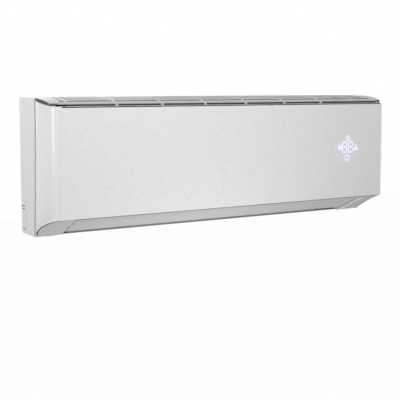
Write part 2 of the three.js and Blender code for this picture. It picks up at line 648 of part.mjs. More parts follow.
// ---------------------------------------------------------------- coil and water
// A finned slab, `turn` degrees from upright towards the wall, its thickness to the rear and below.
// Lengthwise channels leave it about as light as fins and pipes, and pipe bends stand on its right end.
function coilSlab([y0, z0], turn, length) {
  const way = [Math.sin(turn * DEG), Math.cos(turn * DEG)];
  const at = (along, deep) => [y0 + way[0] * along + way[1] * deep, z0 + way[1] * along - way[0] * deep];
  const block = (from, to, near, far) => [at(from, near), at(from, far), at(to, far), at(to, near)];
  const pitch = length / COIL_CHANNELS;
  let slab = alongX(block(0, length, 0, COIL_THICK), COIL_LEFT, COIL_RIGHT);
  for (let i = 0; i < COIL_CHANNELS; i += 1) {
    const span = [i * pitch + COIL_WEB / 2, (i + 1) * pitch - COIL_WEB / 2];
    const channel = block(...span, COIL_WEB, COIL_THICK - COIL_WEB);
    slab = slab.subtract(alongX(channel, COIL_LEFT - 1, COIL_RIGHT + 1));
  }
  const outside = box(COIL_RIGHT - 2, COIL_RIGHT + 30, 0, DEPTH, 0, HEIGHT);
  for (let i = 1; i < COIL_CHANNELS - 1; i += 2) {
    const bend = new THREE.TorusGeometry(pitch / 2, BEND_PIPE, 6, 12);
    const upright = new THREE.Vector3(0, ...way);
    bend.applyMatrix4(new THREE.Matrix4().makeBasis(upright, X, upright.clone().cross(X)));
    bend.translate(COIL_RIGHT, ...at((i + 0.5) * pitch, COIL_THICK / 2));
    slab = slab.add(toSolid(bend).intersect(outside));
  }
  return slab;
}

function drainPan() {
  const outline = [[18, 60], [66, 80.5], [67, 98], [64, 98], [63.4, 83], [21, 64.6], [21, 94], [18, 94]];
  const tray = alongX(outline, DUCT_LEFT + 0.5, DUCT_RIGHT - 0.5);
  const ends = [DUCT_LEFT + 0.5, DUCT_RIGHT - 2.5].map((x) => {
    return alongX([[18, 60], [66, 80.5], [66, 84], [18, 84]], x, x + 2);
  });
  return join(tray, ...ends);
}

function drainHose() {
  const route = [
    [352, 30, 66], [354, 44, 64], [357, 70, 57], [358, 96, 48], [358, 122, 40], [357, 148, 24],
    [351, 162, 15], [338, ...HOSE_EXIT], [320, ...HOSE_EXIT], [240, ...HOSE_EXIT], [HOSE_END, ...HOSE_EXIT],
  ];
  return tube(route, HOSE_RADIUS, 30, 8);
}

function gasPipe() {
  const route = [
    [352, 170, 186], [360, 178, 176], [366, 185, 150], [366, 188, 110], [366, 188, 60],
    [361, 187, 26], [348, 184.5, 14.5], [334, ...GAS_EXIT], [300, ...GAS_EXIT], [200, ...GAS_EXIT],
    [PIPE_END, ...GAS_EXIT],
  ];
  return tube(route, GAS_RADIUS, 32, 8);
}

function liquidPipe() {
  const route = [
    [348, 150, 240], [349, 168, 226], [351, 184, 196], [351, 190, 130], [351, 190, 70],
    [348, 188.5, 46], [336, 187.2, 38.5], [320, ...LIQUID_EXIT], [200, ...LIQUID_EXIT],
    [PIPE_END, ...LIQUID_EXIT],
  ];
  return tube(route, LIQUID_RADIUS, 32, 6);
}

function flareNut([y, z], radius) {
  const x = PIPE_END + 4;
  const nut = rodX(y, z, radius + 3.6, x, x + 22, 6);
  return nut.subtract(rodX(y, z, radius + 0.35, x - 1, x + 24, 16));
}

// ---------------------------------------------------------------- inner frame, filters, electrics
function frontFrame() {
  const half = HALF - 14;
  const window = (x0, x1) => [[x0, 100], [x1, 100], [x1, 282], [x0, 282]];
  const windows = [window(-428, -54), window(-44, 330)].map((outline) => alongY(outline, 8, 14));
  let frame = cut(alongY([[-half, 56], [half, 56], [half, 289], [-half, 289]], 10, 12.5), ...windows);
  const sideOutline = [[10, 56], [10, 289], [30, 297], [98, 304], [98, 38]];
  for (const side of [-1, 1]) {
    const x = side * (half - 1.25);
    frame = frame.add(alongX(sideOutline.slice().reverse(), x - 1.25, x + 1.25));
    const bracket = box(side * HINGE_X - 1.5, side * HINGE_X + 1.5, 10, 21, 278, 301);
    frame = frame.add(bracket);
    const eye = rodX(HINGE_Y, HINGE_Z, PIN_RADIUS + 0.5, side * HINGE_X - 3, side * HINGE_X + 3, 16);
    frame = frame.subtract(eye);
  }
  frame = frame.subtract(rod([BUTTON_X, 8, BUTTON_Z], [BUTTON_X, 14, BUTTON_Z], 4.6, 20));
  for (const x of SCREW_X) {
    frame = frame.subtract(rod([x, 8, SCREW_Z], [x, 14, SCREW_Z], 2.6, 12));
  }
  return frame;
}

function frameScrew(x) {
  const head = rod([x, 7.4, SCREW_Z], [x, 9.6, SCREW_Z], 4, 16);
  const shank = rod([x, 9, SCREW_Z], [x, 17.4, SCREW_Z], 2, 12);
  return join(head, shank);
}

function filter(x0, x1) {
  const path = [[19.5, 98], [19.5, 220], [96, 296], [150, 302]];
  const sheet = alongX(strip(path, -2).reverse(), x0, x1);
  const tab = box((x0 + x1) / 2 - 20, (x0 + x1) / 2 + 20, 15, 20.5, 104, 106.5);
  return join(sheet, tab);
}

function electricBox() {
  const outer = box(BOX_LEFT, BOX_RIGHT, BOX_FRONT, BOX_REAR, BOX_BOTTOM, BOX_TOP);
  const inside = box(BOX_LEFT + 2, BOX_RIGHT - 2, BOX_FRONT - 2, BOX_REAR - 2, BOX_BOTTOM + 2, BOX_TOP - 2);
  const cableGate = rod([BOX_RIGHT - 20, BOX_REAR - 10, 90], [BOX_RIGHT - 20, BOX_REAR + 5, 90], 8, 16);
  return cut(outer, inside, cableGate);
}

function boxCover() {
  return box(BOX_LEFT, BOX_RIGHT, BOX_FRONT - 2.8, BOX_FRONT - 0.6, 112, BOX_TOP);
}

function controlBoard() {
  const board = box(BOX_LEFT + 5, BOX_RIGHT - 5, 60, 61.6, 112, 270);
  const parts = [
    box(BOX_LEFT + 10, BOX_LEFT + 38, 36, 60.5, 118, 146),
    box(BOX_LEFT + 46, BOX_LEFT + 64, 44, 60.5, 120, 142),
    box(BOX_LEFT + 70, BOX_LEFT + 84, 46, 60.5, 122, 140),
    box(BOX_LEFT + 12, BOX_LEFT + 34, 50, 60.5, 228, 252),
    box(BOX_LEFT + 50, BOX_LEFT + 80, 52, 60.5, 236, 244),
    rod([BOX_LEFT + 24, 61, 170], [BOX_LEFT + 24, 34, 170], 9, 16),
    rod([BOX_LEFT + 24, 61, 198], [BOX_LEFT + 24, 38, 198], 7, 16),
    rod([BOX_LEFT + 66, 61, 178], [BOX_LEFT + 66, 44, 178], 8, 16),
  ];
  return join(board, ...parts);
}

function terminalBlock() {
  let block = box(BOX_LEFT + 12, BOX_LEFT + 76, 42, 67.4, 82, 106);
  for (let i = 0; i < 4; i += 1) {
    const x = BOX_LEFT + 20 + i * 16;
    block = block.subtract(box(x - 5, x + 5, 40, 48, 80, 98));
  }
  return block;
}

function displayBoard() {
  return box(DISPLAY_X - 44, DISPLAY_X + 44, 8, 9.2, DISPLAY_Z - 42, DISPLAY_Z + 42);
}

function lightGuide() {
  const guide = box(DISPLAY_X - 40, DISPLAY_X + 40, 5.6, 7.7, DISPLAY_Z - 38, DISPLAY_Z + 38);
  return guide.subtract(box(DISPLAY_X - 4, DISPLAY_X + 4, 4, 9, DISPLAY_Z - 6, DISPLAY_Z + 6));
}

function emergencyButton() {
  const key = rod([BUTTON_X, 8.3, BUTTON_Z], [BUTTON_X, 13.6, BUTTON_Z], 4.2, 20);
  const collar = rod([BUTTON_X, 13.1, BUTTON_Z], [BUTTON_X, 14.3, BUTTON_Z], 5.6, 20);
  return join(key, collar);
}

function roomSensor() {
  return rod([343.1, 22, 120], [343.1, 22, 150], 2.3, 12);
}

function mountingPlate() {
  const holes = [];
  for (const x of PLATE_SLOT_X) {
    for (const z of PLATE_SLOT_Z) {
      holes.push(slotHole(x, z, 14, 3.5));
    }
  }
  holes.push([[-160, 110], [-60, 110], [-60, 230], [-160, 230]]);
  holes.push([[60, 110], [160, 110], [160, 230], [60, 230]]);
  const outline = [[-390, 60], [390, 60], [390, 240], [330, 292], [-330, 292], [-390, 240]];
  const tools = holes.map((hole) => alongY(hole, DEPTH - 3, DEPTH + 1));
  let plate = cut(alongY(outline, DEPTH - PLATE_THICK, DEPTH), ...tools);
  for (const x of [-HOOK_X, HOOK_X]) {
    const arm = box(x - HOOK_HALF, x + HOOK_HALF, BACK_Y - 8, DEPTH - 1, 276, 278);
    const hook = box(x - HOOK_HALF, x + HOOK_HALF, BACK_Y - 8, BACK_Y - 6, 276, 288);
    plate = join(plate, arm, hook);
  }
  return plate;
}

function slotHole(x, z, length, radius) {
  const points = [];
  for (let i = 0; i <= 4; i += 1) {
    const angle = (-90 + i * 45) * DEG;
    points.push([x + length / 2 + radius * Math.cos(angle), z + radius * Math.sin(angle)]);
  }
  for (let i = 0; i <= 4; i += 1) {
    const angle = (90 + i * 45) * DEG;
    points.push([x - length / 2 + radius * Math.cos(angle), z + radius * Math.sin(angle)]);
  }
  return points;
}

// ---------------------------------------------------------------- materials
function paint(color, roughness, metalness = 0) {
  return new THREE.MeshStandardMaterial({ color, roughness, metalness });
}

const MATERIALS = {
  panel: paint(0xdfe0e2, 0.25),
  casing: paint(0xdcdcdb, 0.5),
  grey: paint(0x9b9c9e, 0.45),
  flap: paint(0xb9bbbd, 0.35),
  inner: paint(0xc9c8c2, 0.6),
  dark: paint(0x2a2b2d, 0.6),
  steel: paint(0xa8abae, 0.4, 0.9),
  aluminium: paint(0xc3c6c9, 0.35, 1),
  copper: paint(0xb87346, 0.35, 1),
  brass: paint(0xc6a455, 0.35, 1),
  board: paint(0x2f6b3f, 0.6),
  mesh: paint(0x6f7478, 0.7),
  light: paint(0xeceaff, 0.3),
};

// ---------------------------------------------------------------- assembly
const unit = new THREE.Group();
unit.position.set(0, -DEPTH, -HEIGHT / 2);

function place(name, piece, material) {
  const geometry = piece.isBufferGeometry ? piece : toGeometry(piece);
  const mesh = new THREE.Mesh(geometry, material);
  mesh.name = name;
  unit.add(mesh);
}

place('mounting_plate', mountingPlate(), MATERIALS.steel);
place('rear_chassis', rearChassis(), MATERIALS.inner);
place('left_side_casing', sideCasing(-1), MATERIALS.casing);
place('right_side_casing', sideCasing(1), MATERIALS.casing);
place('top_grille', topGrille(), MATERIALS.grey);
place('front_frame', frontFrame(), MATERIALS.inner);
place('front_panel', frontPanel(), MATERIALS.panel);
place('display_board', displayBoard(), MATERIALS.board);
place('display_light_guide', lightGuide(), MATERIALS.light);
place('left_cheek', cheek(-1), MATERIALS.flap);
place('right_cheek', cheek(1), MATERIALS.flap);
place('flap', flap(), MATERIALS.flap);
place('flap_motor', flapMotor(), MATERIALS.steel);
for (let number = 0; number < VANE_COUNT; number += 1) {
  place(`vane_${number + 1}`, vane(number), MATERIALS.dark);
}
place('left_vane_link', vaneLink(0), MATERIALS.dark);
place('right_vane_link', vaneLink(VANE_GROUP), MATERIALS.dark);
place('left_vane_motor', vaneMotor(0), MATERIALS.steel);
place('right_vane_motor', vaneMotor(VANE_GROUP), MATERIALS.steel);
place('cross_flow_fan', crossFlowFan(), MATERIALS.dark);
place('fan_bearing', fanBearing(), MATERIALS.dark);
place('fan_motor_shaft', rodX(FAN_Y, FAN_Z, SHAFT_RADIUS, 316, 370, 16), MATERIALS.steel);
place('fan_motor', fanMotor(), MATERIALS.steel);
place('motor_clamp', motorClamp(), MATERIALS.steel);
place('front_lower_coil', coilSlab(LOWER_COIL_FOOT, 0, 110), MATERIALS.aluminium);
place('front_upper_coil', coilSlab(UPPER_COIL_FOOT, 46, 104), MATERIALS.aluminium);
place('rear_coil', coilSlab(REAR_COIL_FOOT, -28, 104), MATERIALS.aluminium);
place('drain_pan', drainPan(), MATERIALS.inner);
place('drain_hose', drainHose(), MATERIALS.casing);
place('gas_pipe', gasPipe(), MATERIALS.copper);
place('liquid_pipe', liquidPipe(), MATERIALS.copper);
place('gas_flare_nut', flareNut(GAS_EXIT, GAS_RADIUS), MATERIALS.brass);
place('liquid_flare_nut', flareNut(LIQUID_EXIT, LIQUID_RADIUS), MATERIALS.brass);
place('electric_box', electricBox(), MATERIALS.dark);
place('electric_box_cover', boxCover(), MATERIALS.dark);
place('control_board', controlBoard(), MATERIALS.board);
place('terminal_block', terminalBlock(), MATERIALS.dark);
place('left_filter', filter(-426, -52), MATERIALS.mesh);
place('right_filter', filter(-46, 328), MATERIALS.mesh);
place('emergency_button', emergencyButton(), MATERIALS.casing);
place('room_sensor', roomSensor(), MATERIALS.brass);
SCREW_X.forEach((x, i) => place(`frame_screw_${i + 1}`, frameScrew(x), MATERIALS.steel));

const model = new THREE.Group();
model.add(unit);
export default model;
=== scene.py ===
"""Looks of a wall-hung air conditioner indoor unit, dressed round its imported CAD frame.

Shapes are written in millimetres from the unit's own corner: X from its middle to the viewer's
right, Y from the front of the panel into the wall, Z from its underside up. at() turns such a point
into the row frame, in metres.
"""

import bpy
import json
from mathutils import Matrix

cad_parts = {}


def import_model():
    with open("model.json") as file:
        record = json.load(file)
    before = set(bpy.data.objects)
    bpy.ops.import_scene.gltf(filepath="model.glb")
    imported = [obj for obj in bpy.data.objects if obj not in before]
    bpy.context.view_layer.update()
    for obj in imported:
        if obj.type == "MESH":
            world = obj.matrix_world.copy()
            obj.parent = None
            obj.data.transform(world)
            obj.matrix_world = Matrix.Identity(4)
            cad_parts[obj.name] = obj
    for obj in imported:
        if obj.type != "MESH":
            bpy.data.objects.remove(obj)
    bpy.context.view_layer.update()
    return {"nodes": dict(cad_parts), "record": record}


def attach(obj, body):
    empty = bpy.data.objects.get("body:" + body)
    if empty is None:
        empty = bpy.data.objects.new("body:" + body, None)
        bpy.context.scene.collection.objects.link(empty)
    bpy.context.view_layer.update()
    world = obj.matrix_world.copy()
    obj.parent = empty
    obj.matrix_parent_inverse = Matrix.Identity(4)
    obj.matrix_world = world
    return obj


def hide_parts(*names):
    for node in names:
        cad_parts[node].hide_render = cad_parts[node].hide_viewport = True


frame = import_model()

import json
import math

import bmesh
import bpy
from mathutils import Vector

# ------------------------------------------------------------------ dimensions in millimetres
HALF = 480.0
HEIGHT = 320.0
DEPTH = 205.0
SKIN = 3.0
CORNER_X = 24.0
CORNER_Y = 112.0
CORNER_POWER = 3.0
EDGE_ROLL = 7.0
EDGE_REACH = 5.5
PANEL_TOP = 298.0
PANEL_BOTTOM = 52.0
PANEL_LEAN = 2.0
LEAN_REACH = 60.0
LIP_HALF = 456.0
HINGE_X = 447.5
ARM_X = HINGE_X - 6.5
SEAM_GROOVE = 4.5
SLIT = 1.2
SEAM_TOP = 313.0
WING_END = 102.0
SEAM = [(WING_END, SEAM_TOP), (102.5, 269), (106.5, 178), (111.5, 87), (117.5, 15), (118, 3)]
WING_TOP = [(-5, PANEL_TOP), (0, PANEL_TOP), (18, 301), (48, 304.6), (78, 308.2), (WING_END, SEAM_TOP)]
STEP_TOP = 317.0
STEP_FOOT = 24.0
CASING_WIDTH = 24.0
CASING_CORNER = 8.0
LIP_SECTION = [(2.8, -1.6), (2.8, 2.4), (8.0, 3.0), (13.8, 3.4), (13.8, 1.4), (8.0, 0.8)]
CORNER_END = 24.0
POCKET = (444.2, 456.4)
GRILLE_FRONT = 24.0
GRILLE_ROOF = 125.0
GRILLE_REAR = 198.0
RIB_FIRST = -433.0
RIB_PITCH = 117.0
RIB_COUNT = 8
RIB_WIDTH = 5.0
SLAT_PITCH = 17.0
SLAT_BAR = 5.0
SLAT_ROWS = 9
SLAT_THICK = 1.8
SLAT_FIRST = 10.0
NOSE_INSET = 22.0
APRON_INSET = 20.0
VENT_FIRST = 29.0
VENT_LENGTH = 7.0
VENT_PITCH = 9.5
VENT_END = 98.0
VENT_WALL_END = 101.6
SHADE_SHEET_INSET = 2.2
FLAP_LEFT = -424.0
FLAP_RIGHT = 405.0
FLAP_THICK = 6.0
FLAP_FRONT = (5.0, PANEL_BOTTOM - 1.6)
FLAP_REAR = (125.0, 9.5)
FLAP_BELLY = 6.8
FLAP_PIVOT = (118.0, 15.0)
FLAP_PIN = 3.0
CHEEK_INSET = 3.8
CHEEK_REAR = 118.2
CHEEK_BELLY = 1.5
CHEEK_BULGE = 7.0
CHEEK_FOOT = 1.5
CHEEK_CORNER_END = 104.0
SEAM_SLANT = 9.0
DISPLAY_X = 344.0
DISPLAY_Z = 185.0
BLOOM_DROP = 8.0
FLOOR_LEVEL = -1840.0
FLOOR_HALF = 12000.0
FLOOR_WHITE = 0.97
SKY_ON_OBJECT = 0.30


# ------------------------------------------------------------------ points and curves
def at(x, y, z):
    """A point of the unit, in millimetres, as a point of the row frame, in metres."""
    return Vector((x, y - DEPTH, z - HEIGHT / 2)) / 1000


def bezier(points, divisions):
    """A cubic curve through the first and last of four (a, b) points."""
    curve = []
    for i in range(divisions + 1):
        t = i / divisions
        weights = ((1 - t) ** 3, 3 * t * (1 - t) ** 2, 3 * t * t * (1 - t), t ** 3)
        curve.append(tuple(sum(w * p[k] for w, p in zip(weights, points)) for k in (0, 1)))
    return curve


ROOF = bezier([(GRILLE_FRONT, 308), (45, 315), (80, HEIGHT), (GRILLE_ROOF, HEIGHT)], 60)
WING_FOOT = bezier([(3, PANEL_BOTTOM), (60, 38), (115, 21), (118, 3)], 80)
SAG_PEAK = 0.0819


def between(points, a):
    """The second coordinate where a polyline, rising in its first one, passes a."""
    if a <= points[0][0]:
        return points[0][1]
    for (a0, b0), (a1, b1) in zip(points, points[1:]):
        if a <= a1:
            return b0 + (b1 - b0) * (a - a0) / (a1 - a0)
    return points[-1][1]


def smooth(points, a):
    """Like between(), but smooth: a cubic with the polyline's mean slopes at its points."""
    count = len(points)
    slopes = [(q[1] - p[1]) / (q[0] - p[0]) for p, q in zip(points, points[1:])]
    bends = [slopes[0], *[(s + t) / 2 for s, t in zip(slopes, slopes[1:])], slopes[-1]]
    k = next((i for i in range(count - 2) if a <= points[i + 1][0]), count - 2)
    (a0, b0), (a1, b1) = points[k], points[k + 1]
    span = a1 - a0
    t = min(max((a - a0) / span, 0), 1)
    return (b0 * (1 + 2 * t) * (1 - t) ** 2 + bends[k] * span * t * (1 - t) ** 2
            + b1 * t * t * (3 - 2 * t) + bends[k + 1] * span * t * t * (t - 1))


SEAM_RISING = [(z, y) for y, z in reversed(SEAM)]


def seam_depth(z):
    return smooth(SEAM_RISING, z)


def wing_top(y):
    return smooth(WING_TOP, y)


def wing_foot(y):
    return between(WING_FOOT, y)


def roof(y):
    return between(ROOF, y)


def plan_x(y, inset=0.0):
    """Half width of the unit's rounded plan at a depth behind the front."""
    share = min(max(1 - (y - inset) / (CORNER_Y - inset), 0), 1)
    corner = CORNER_X * max(1 - share ** CORNER_POWER, 0) ** (1 / CORNER_POWER)
    return HALF - CORNER_X + corner - inset * min(1, corner / CORNER_X)


def lean(y, z):
    """How far the panel's face lies behind the upright, more towards its foot."""
    ahead = max(0, 1 - y / LEAN_REACH)
    down = max(0, (PANEL_TOP - z) / (PANEL_TOP - PANEL_BOTTOM))
    return PANEL_LEAN * ahead * down


def underside(start, end, belly, divisions):
    """A slope that sags by `belly` at most, near its rear end; SAG_PEAK is the greatest t ** 4 * (1 - t)."""
    line = []
    for i in range(divisions + 1):
        t = i / divisions
        sag = belly * t ** 4 * (1 - t) / SAG_PEAK
        line.append((start[0] + (end[0] - start[0]) * t, start[1] + (end[1] - start[1]) * t - sag))
    return line


def offset(points, distance):
    """A polyline moved sideways, to its left."""
    moved = []
    for i, (a, b) in enumerate(points):
        before = points[max(i - 1, 0)]
        after = points[min(i + 1, len(points) - 1)]
        way = Vector((after[0] - before[0], after[1] - before[1])).normalized()
        moved.append((a - way.y * distance, b + way.x * distance))
    return moved


# ------------------------------------------------------------------ pieces
def make(name, points, faces, material, body, replaces=(), slot=None, sharp=40):
    """A mesh piece from points in the unit's millimetres, smooth except at edges over `sharp` degrees."""
    mesh = bpy.data.meshes.new(name)
    mesh.from_pydata([at(*p) for p in points], [], faces)
    mesh.validate()
    piece = bpy.data.objects.new(name, mesh)
    bpy.context.scene.collection.objects.link(piece)
    mesh.materials.append(material)
    weld(piece)
    mesh.polygons.foreach_set("use_smooth", [True] * len(mesh.polygons))
    mesh.set_sharp_from_angle(angle=math.radians(sharp))
    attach(piece, body)
    if replaces:
        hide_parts(*replaces)
    return piece


def weld(piece):
    work = bmesh.new()
    work.from_mesh(piece.data)
    bmesh.ops.remove_doubles(work, verts=work.verts, dist=1e-6)
    work.to_mesh(piece.data)
    work.free()


def recalc(piece):
    """Turns the faces of a closed mesh outwards."""
    work = bmesh.new()
    work.from_mesh(piece.data)
    bmesh.ops.recalc_face_normals(work, faces=work.faces)
    work.to_mesh(piece.data)
    work.free()


def turn_over(piece):
    for polygon in piece.data.polygons:
        polygon.flip()


def face_towards(piece, axis, sign):
    """Turns a sheet over if its first face looks away from that side."""
    if piece.data.polygons[0].normal[axis] * sign < 0:
        turn_over(piece)


def round_edges(piece, width, segments=3, angle=40):
    """Rounds every edge sharper than `angle` degrees; width in millimetres."""
    bevel = piece.modifiers.new("edges", "BEVEL")
    bevel.width = width / 1000
    bevel.segments = segments
    bevel.limit_method = "ANGLE"
    bevel.angle_limit = math.radians(angle)
    bevel.harden_normals = True
    bevel.use_clamp_overlap = True


def thicken(piece, thickness):
    """Gives an open sheet its thickness, behind its face; thickness in millimetres."""
    solid = piece.modifiers.new("thickness", "SOLIDIFY")
    solid.thickness = thickness / 1000
    solid.offset = -1
    solid.use_even_offset = True


def sheet_faces(columns, rows, keep=lambda i, j: True):
    """Quads of a grid whose points run column by column."""
    faces = []
    for i in range(columns - 1):
        for j in range(rows - 1):
            if keep(i, j):
                a = i * rows + j
                faces.append((a, a + rows, a + rows + 1, a + 1))
    return faces


def prism(name, outline, low, high, place, material, body, **kept):
    """A closed outline extruded from low to high; place(a, b, c) orders its coordinates."""
    count = len(outline)
    points = [place(a, b, low) for a, b in outline] + [place(a, b, high) for a, b in outline]
    faces = [tuple(range(count)), tuple(range(2 * count - 1, count - 1, -1))]
    faces += [(i, (i + 1) % count, (i + 1) % count + count, i + count) for i in range(count)]
    piece = make(name, points, faces, material, body, **kept)
    recalc(piece)
    return piece


def along_x(y, z, x):
    return x, y, z


def block(name, x, y, z, material, body, edge=0.4, **kept):
    """A bar with rounded edges between two x, two y and two z."""
    outline = [(y[0], z[0]), (y[1], z[0]), (y[1], z[1]), (y[0], z[1])]
    round_edges(prism(name, outline, x[0], x[1], along_x, material, body, **kept), edge)


# ------------------------------------------------------------------ materials
class Nodes:
    """A short way to wire one material."""

    def __init__(self, name):
        self.material = bpy.data.materials.new(name)
        self.material.use_nodes = True
        self.tree = self.material.node_tree
        self.shader = self.tree.nodes["Principled BSDF"]
        self.coords = self.add("ShaderNodeTexCoord")

    def add(self, kind, **inputs):
        node = self.tree.nodes.new(kind)
        for name, value in inputs.items():
            self.set(node, name.replace("_", " "), value)
        return node

    def set(self, node, name, value):
        if isinstance(value, bpy.types.NodeSocket):
            self.tree.links.new(value, node.inputs[name])
        else:
            node.inputs[name].default_value = value

    def noise(self, scale, detail=2.0, stretch=None):
        vector = self.coords.outputs["Object"]
        if stretch:
            mapping = self.add("ShaderNodeMapping", Vector=vector, Scale=stretch)
            vector = mapping.outputs["Vector"]
        return self.add("ShaderNodeTexNoise", Vector=vector, Scale=scale, Detail=detail).outputs["Fac"]

    def ramp(self, value, low, high):
        """value, from 0 to 1, spread between low and high."""
        node = self.add("ShaderNodeMapRange", Value=value)
        node.inputs["From Min"].default_value = 0.3
        node.inputs["From Max"].default_value = 0.7
        node.inputs["To Min"].default_value = low
        node.inputs["To Max"].default_value = high
        return node.outputs["Result"]

    def mix(self, factor, a, b):
        node = self.tree.nodes.new("ShaderNodeMix")
        node.data_type = "RGBA"
        for socket, value in ((0, factor), (6, a), (7, b)):
            if isinstance(value, bpy.types.NodeSocket):
                self.tree.links.new(value, node.inputs[socket])
            else:
                node.inputs[socket].default_value = value
        return node.outputs[2]

    def bump(self, height, strength, distance):
        node = self.add("ShaderNodeBump", Height=height)
        node.inputs["Strength"].default_value = strength
        node.inputs["Distance"].default_value = distance
        self.set(self.shader, "Normal", node.outputs["Normal"])


def linear(grey):
    """Scene value of an sRGB grey from 0 to 255."""
    share = grey / 255
    return share / 12.92 if share <= 0.04045 else ((share + 0.055) / 1.055) ** 2.4


def tint(grey, warmth=0.0):
    """A near-neutral colour; warmth above 0 is yellower, below 0 bluer."""
    value = linear(grey)
    return value * (1 + warmth), value, value * (1 - warmth), 1


def plastic(name, grey, warmth=0.0, roughness=0.4, coat=0.0, grain=0.0):
    """Moulded plastic: faint flow marks in the colour, a fine grain where it isn't polished."""
    made = Nodes(name)
    cloud = made.ramp(made.noise(7, 3), 0, 1)
    made.set(made.shader, "Base Color", made.mix(cloud, tint(grey - 2, warmth), tint(grey + 2, warmth)))
    made.set(made.shader, "Roughness", made.ramp(made.noise(60, 4), roughness - 0.04, roughness + 0.04))
    made.shader.inputs["Coat Weight"].default_value = coat
    made.shader.inputs["Coat Roughness"].default_value = 0.08
    if grain:
        made.bump(made.noise(1600, 2), grain, 0.00008)
    return made.material


def metal(name, colour, roughness, brushed=None, spangle=0.0):
    """Bare or plated metal, brushed along one axis or with the faint flakes of a zinc coat."""
    made = Nodes(name)
    shade = made.noise(240, 2, brushed) if brushed else made.noise(45, 5)
    dark = tuple(c * 0.86 for c in colour) + (1,)
    made.set(made.shader, "Base Color", made.mix(made.ramp(shade, 0, 1), dark, tuple(colour) + (1,)))
    made.shader.inputs["Metallic"].default_value = 1.0
    made.set(made.shader, "Roughness", made.ramp(shade, roughness - 0.08, roughness + 0.08))
    if spangle:
        flakes = made.add("ShaderNodeTexVoronoi", Vector=made.coords.outputs["Object"], Scale=120)
        made.bump(flakes.outputs["Distance"], spangle, 0.0001)
    return made.material


def panel_material():
    """Glossy white with the faint bluish bloom of the lit symbols behind it."""
    made = Nodes("panel_white")
    cloud = made.ramp(made.noise(3, 2), 0, 1)
    made.set(made.shader, "Base Color", made.mix(cloud, tint(229.6), tint(230.4)))
    made.set(made.shader, "Roughness", made.ramp(made.noise(35, 3), 0.27, 0.285))
    made.shader.inputs["Coat Weight"].default_value = 0.3
    made.shader.inputs["Coat Roughness"].default_value = 0.12
    centre = at(DISPLAY_X, 0, DISPLAY_Z - BLOOM_DROP)
    reach = made.add("ShaderNodeVectorMath", Vector=made.coords.outputs["Object"])
    reach.operation = "SUBTRACT"
    reach.inputs[1].default_value = centre
    squeeze = made.add("ShaderNodeVectorMath", Vector=reach.outputs[0])
    squeeze.operation = "MULTIPLY"
    squeeze.inputs[1].default_value = (1 / 0.052, 1 / 0.05, 1 / 0.046)
    length = made.add("ShaderNodeVectorMath", Vector=squeeze.outputs[0])
    length.operation = "LENGTH"
    bloom = made.add("ShaderNodeMapRange", Value=length.outputs["Value"])
    bloom.interpolation_type = "SMOOTHSTEP"
    bloom.inputs["From Min"].default_value = 0.4
    bloom.inputs["From Max"].default_value = 1.0
    bloom.inputs["To Min"].default_value = 0.08
    bloom.inputs["To Max"].default_value = 0.0
    made.shader.inputs["Emission Color"].default_value = (0.25, 0.30, 1.0, 1)
    made.set(made.shader, "Emission Strength", bloom.outputs["Result"])
    return made.material


def glow_material():
    """The lit symbols: lavender white, a little uneven as light behind plastic is."""
    made = Nodes("symbol_light")
    uneven = made.ramp(made.noise(90, 2), 0, 1)
    colour = made.mix(uneven, (0.80, 0.80, 1.0, 1), (0.88, 0.88, 1.0, 1))
    made.set(made.shader, "Base Color", colour)
    made.set(made.shader, "Emission Color", colour)
    made.shader.inputs["Emission Strength"].default_value = 0.42
    made.shader.inputs["Roughness"].default_value = 0.4
    return made.material


def net_material():
    """Nylon filter net: a fine square weave, its holes painted dark as the shade behind it."""
    made = Nodes("filter_net")
    waves = []
    for axis in ("X", "Z"):
        wave = made.add("ShaderNodeTexWave", Vector=made.coords.outputs["Object"], Scale=260)
        wave.bands_direction = axis
        waves.append(wave.outputs["Fac"])
    weave = made.add("ShaderNodeMath")
    weave.operation = "MAXIMUM"
    for i, wave in enumerate(waves):
        made.tree.links.new(wave, weave.inputs[i])
    height = weave.outputs[0]
    # Painted shade: the holes of the weave are dark as the shade behind the net.
    made.set(made.shader, "Base Color", made.mix(height, tint(40), tint(120, -0.04)))
    made.shader.inputs["Roughness"].default_value = 0.7
    made.bump(height, 0.4, 0.0003)
    return made.material


def fin_material():
    """Edges of thin aluminium fins, side by side along the coil, each darkening into painted shade in the
    gap before the next.
    """
    made = Nodes("coil_fins")
    wave = made.add("ShaderNodeTexWave", Vector=made.coords.outputs["Object"], Scale=220)
    wave.bands_direction = "X"
    wave.wave_profile = "SAW"
    # Painted shade: the saw wave darkens each fin towards the gap before the next.
    fins_and_gap_shade = wave.outputs["Fac"]
    dusty = made.mix(made.ramp(made.noise(18, 3), 0, 1), (0.60, 0.62, 0.64, 1), (0.78, 0.80, 0.82, 1))
    made.set(made.shader, "Base Color", made.mix(fins_and_gap_shade, (0.05, 0.05, 0.055, 1), dusty))
    made.shader.inputs["Metallic"].default_value = 0.9
    made.set(made.shader, "Roughness", made.ramp(made.noise(50, 3), 0.3, 0.45))
    made.bump(fins_and_gap_shade, 0.7, 0.0008)
    return made.material


def board_material():
    """Green circuit board with lighter tracks."""
    made = Nodes("circuit_board")
    tracks = made.add("ShaderNodeTexBrick", Vector=made.coords.outputs["Object"], Scale=60)
    tracks.inputs["Color1"].default_value = (0.02, 0.14, 0.06, 1)
    tracks.inputs["Color2"].default_value = (0.03, 0.18, 0.08, 1)
    tracks.inputs["Mortar"].default_value = (0.08, 0.30, 0.14, 1)
    tracks.inputs["Mortar Size"].default_value = 0.03
    made.set(made.shader, "Base Color", tracks.outputs["Color"])
    made.set(made.shader, "Roughness", made.ramp(made.noise(40, 2), 0.3, 0.45))
    return made.material


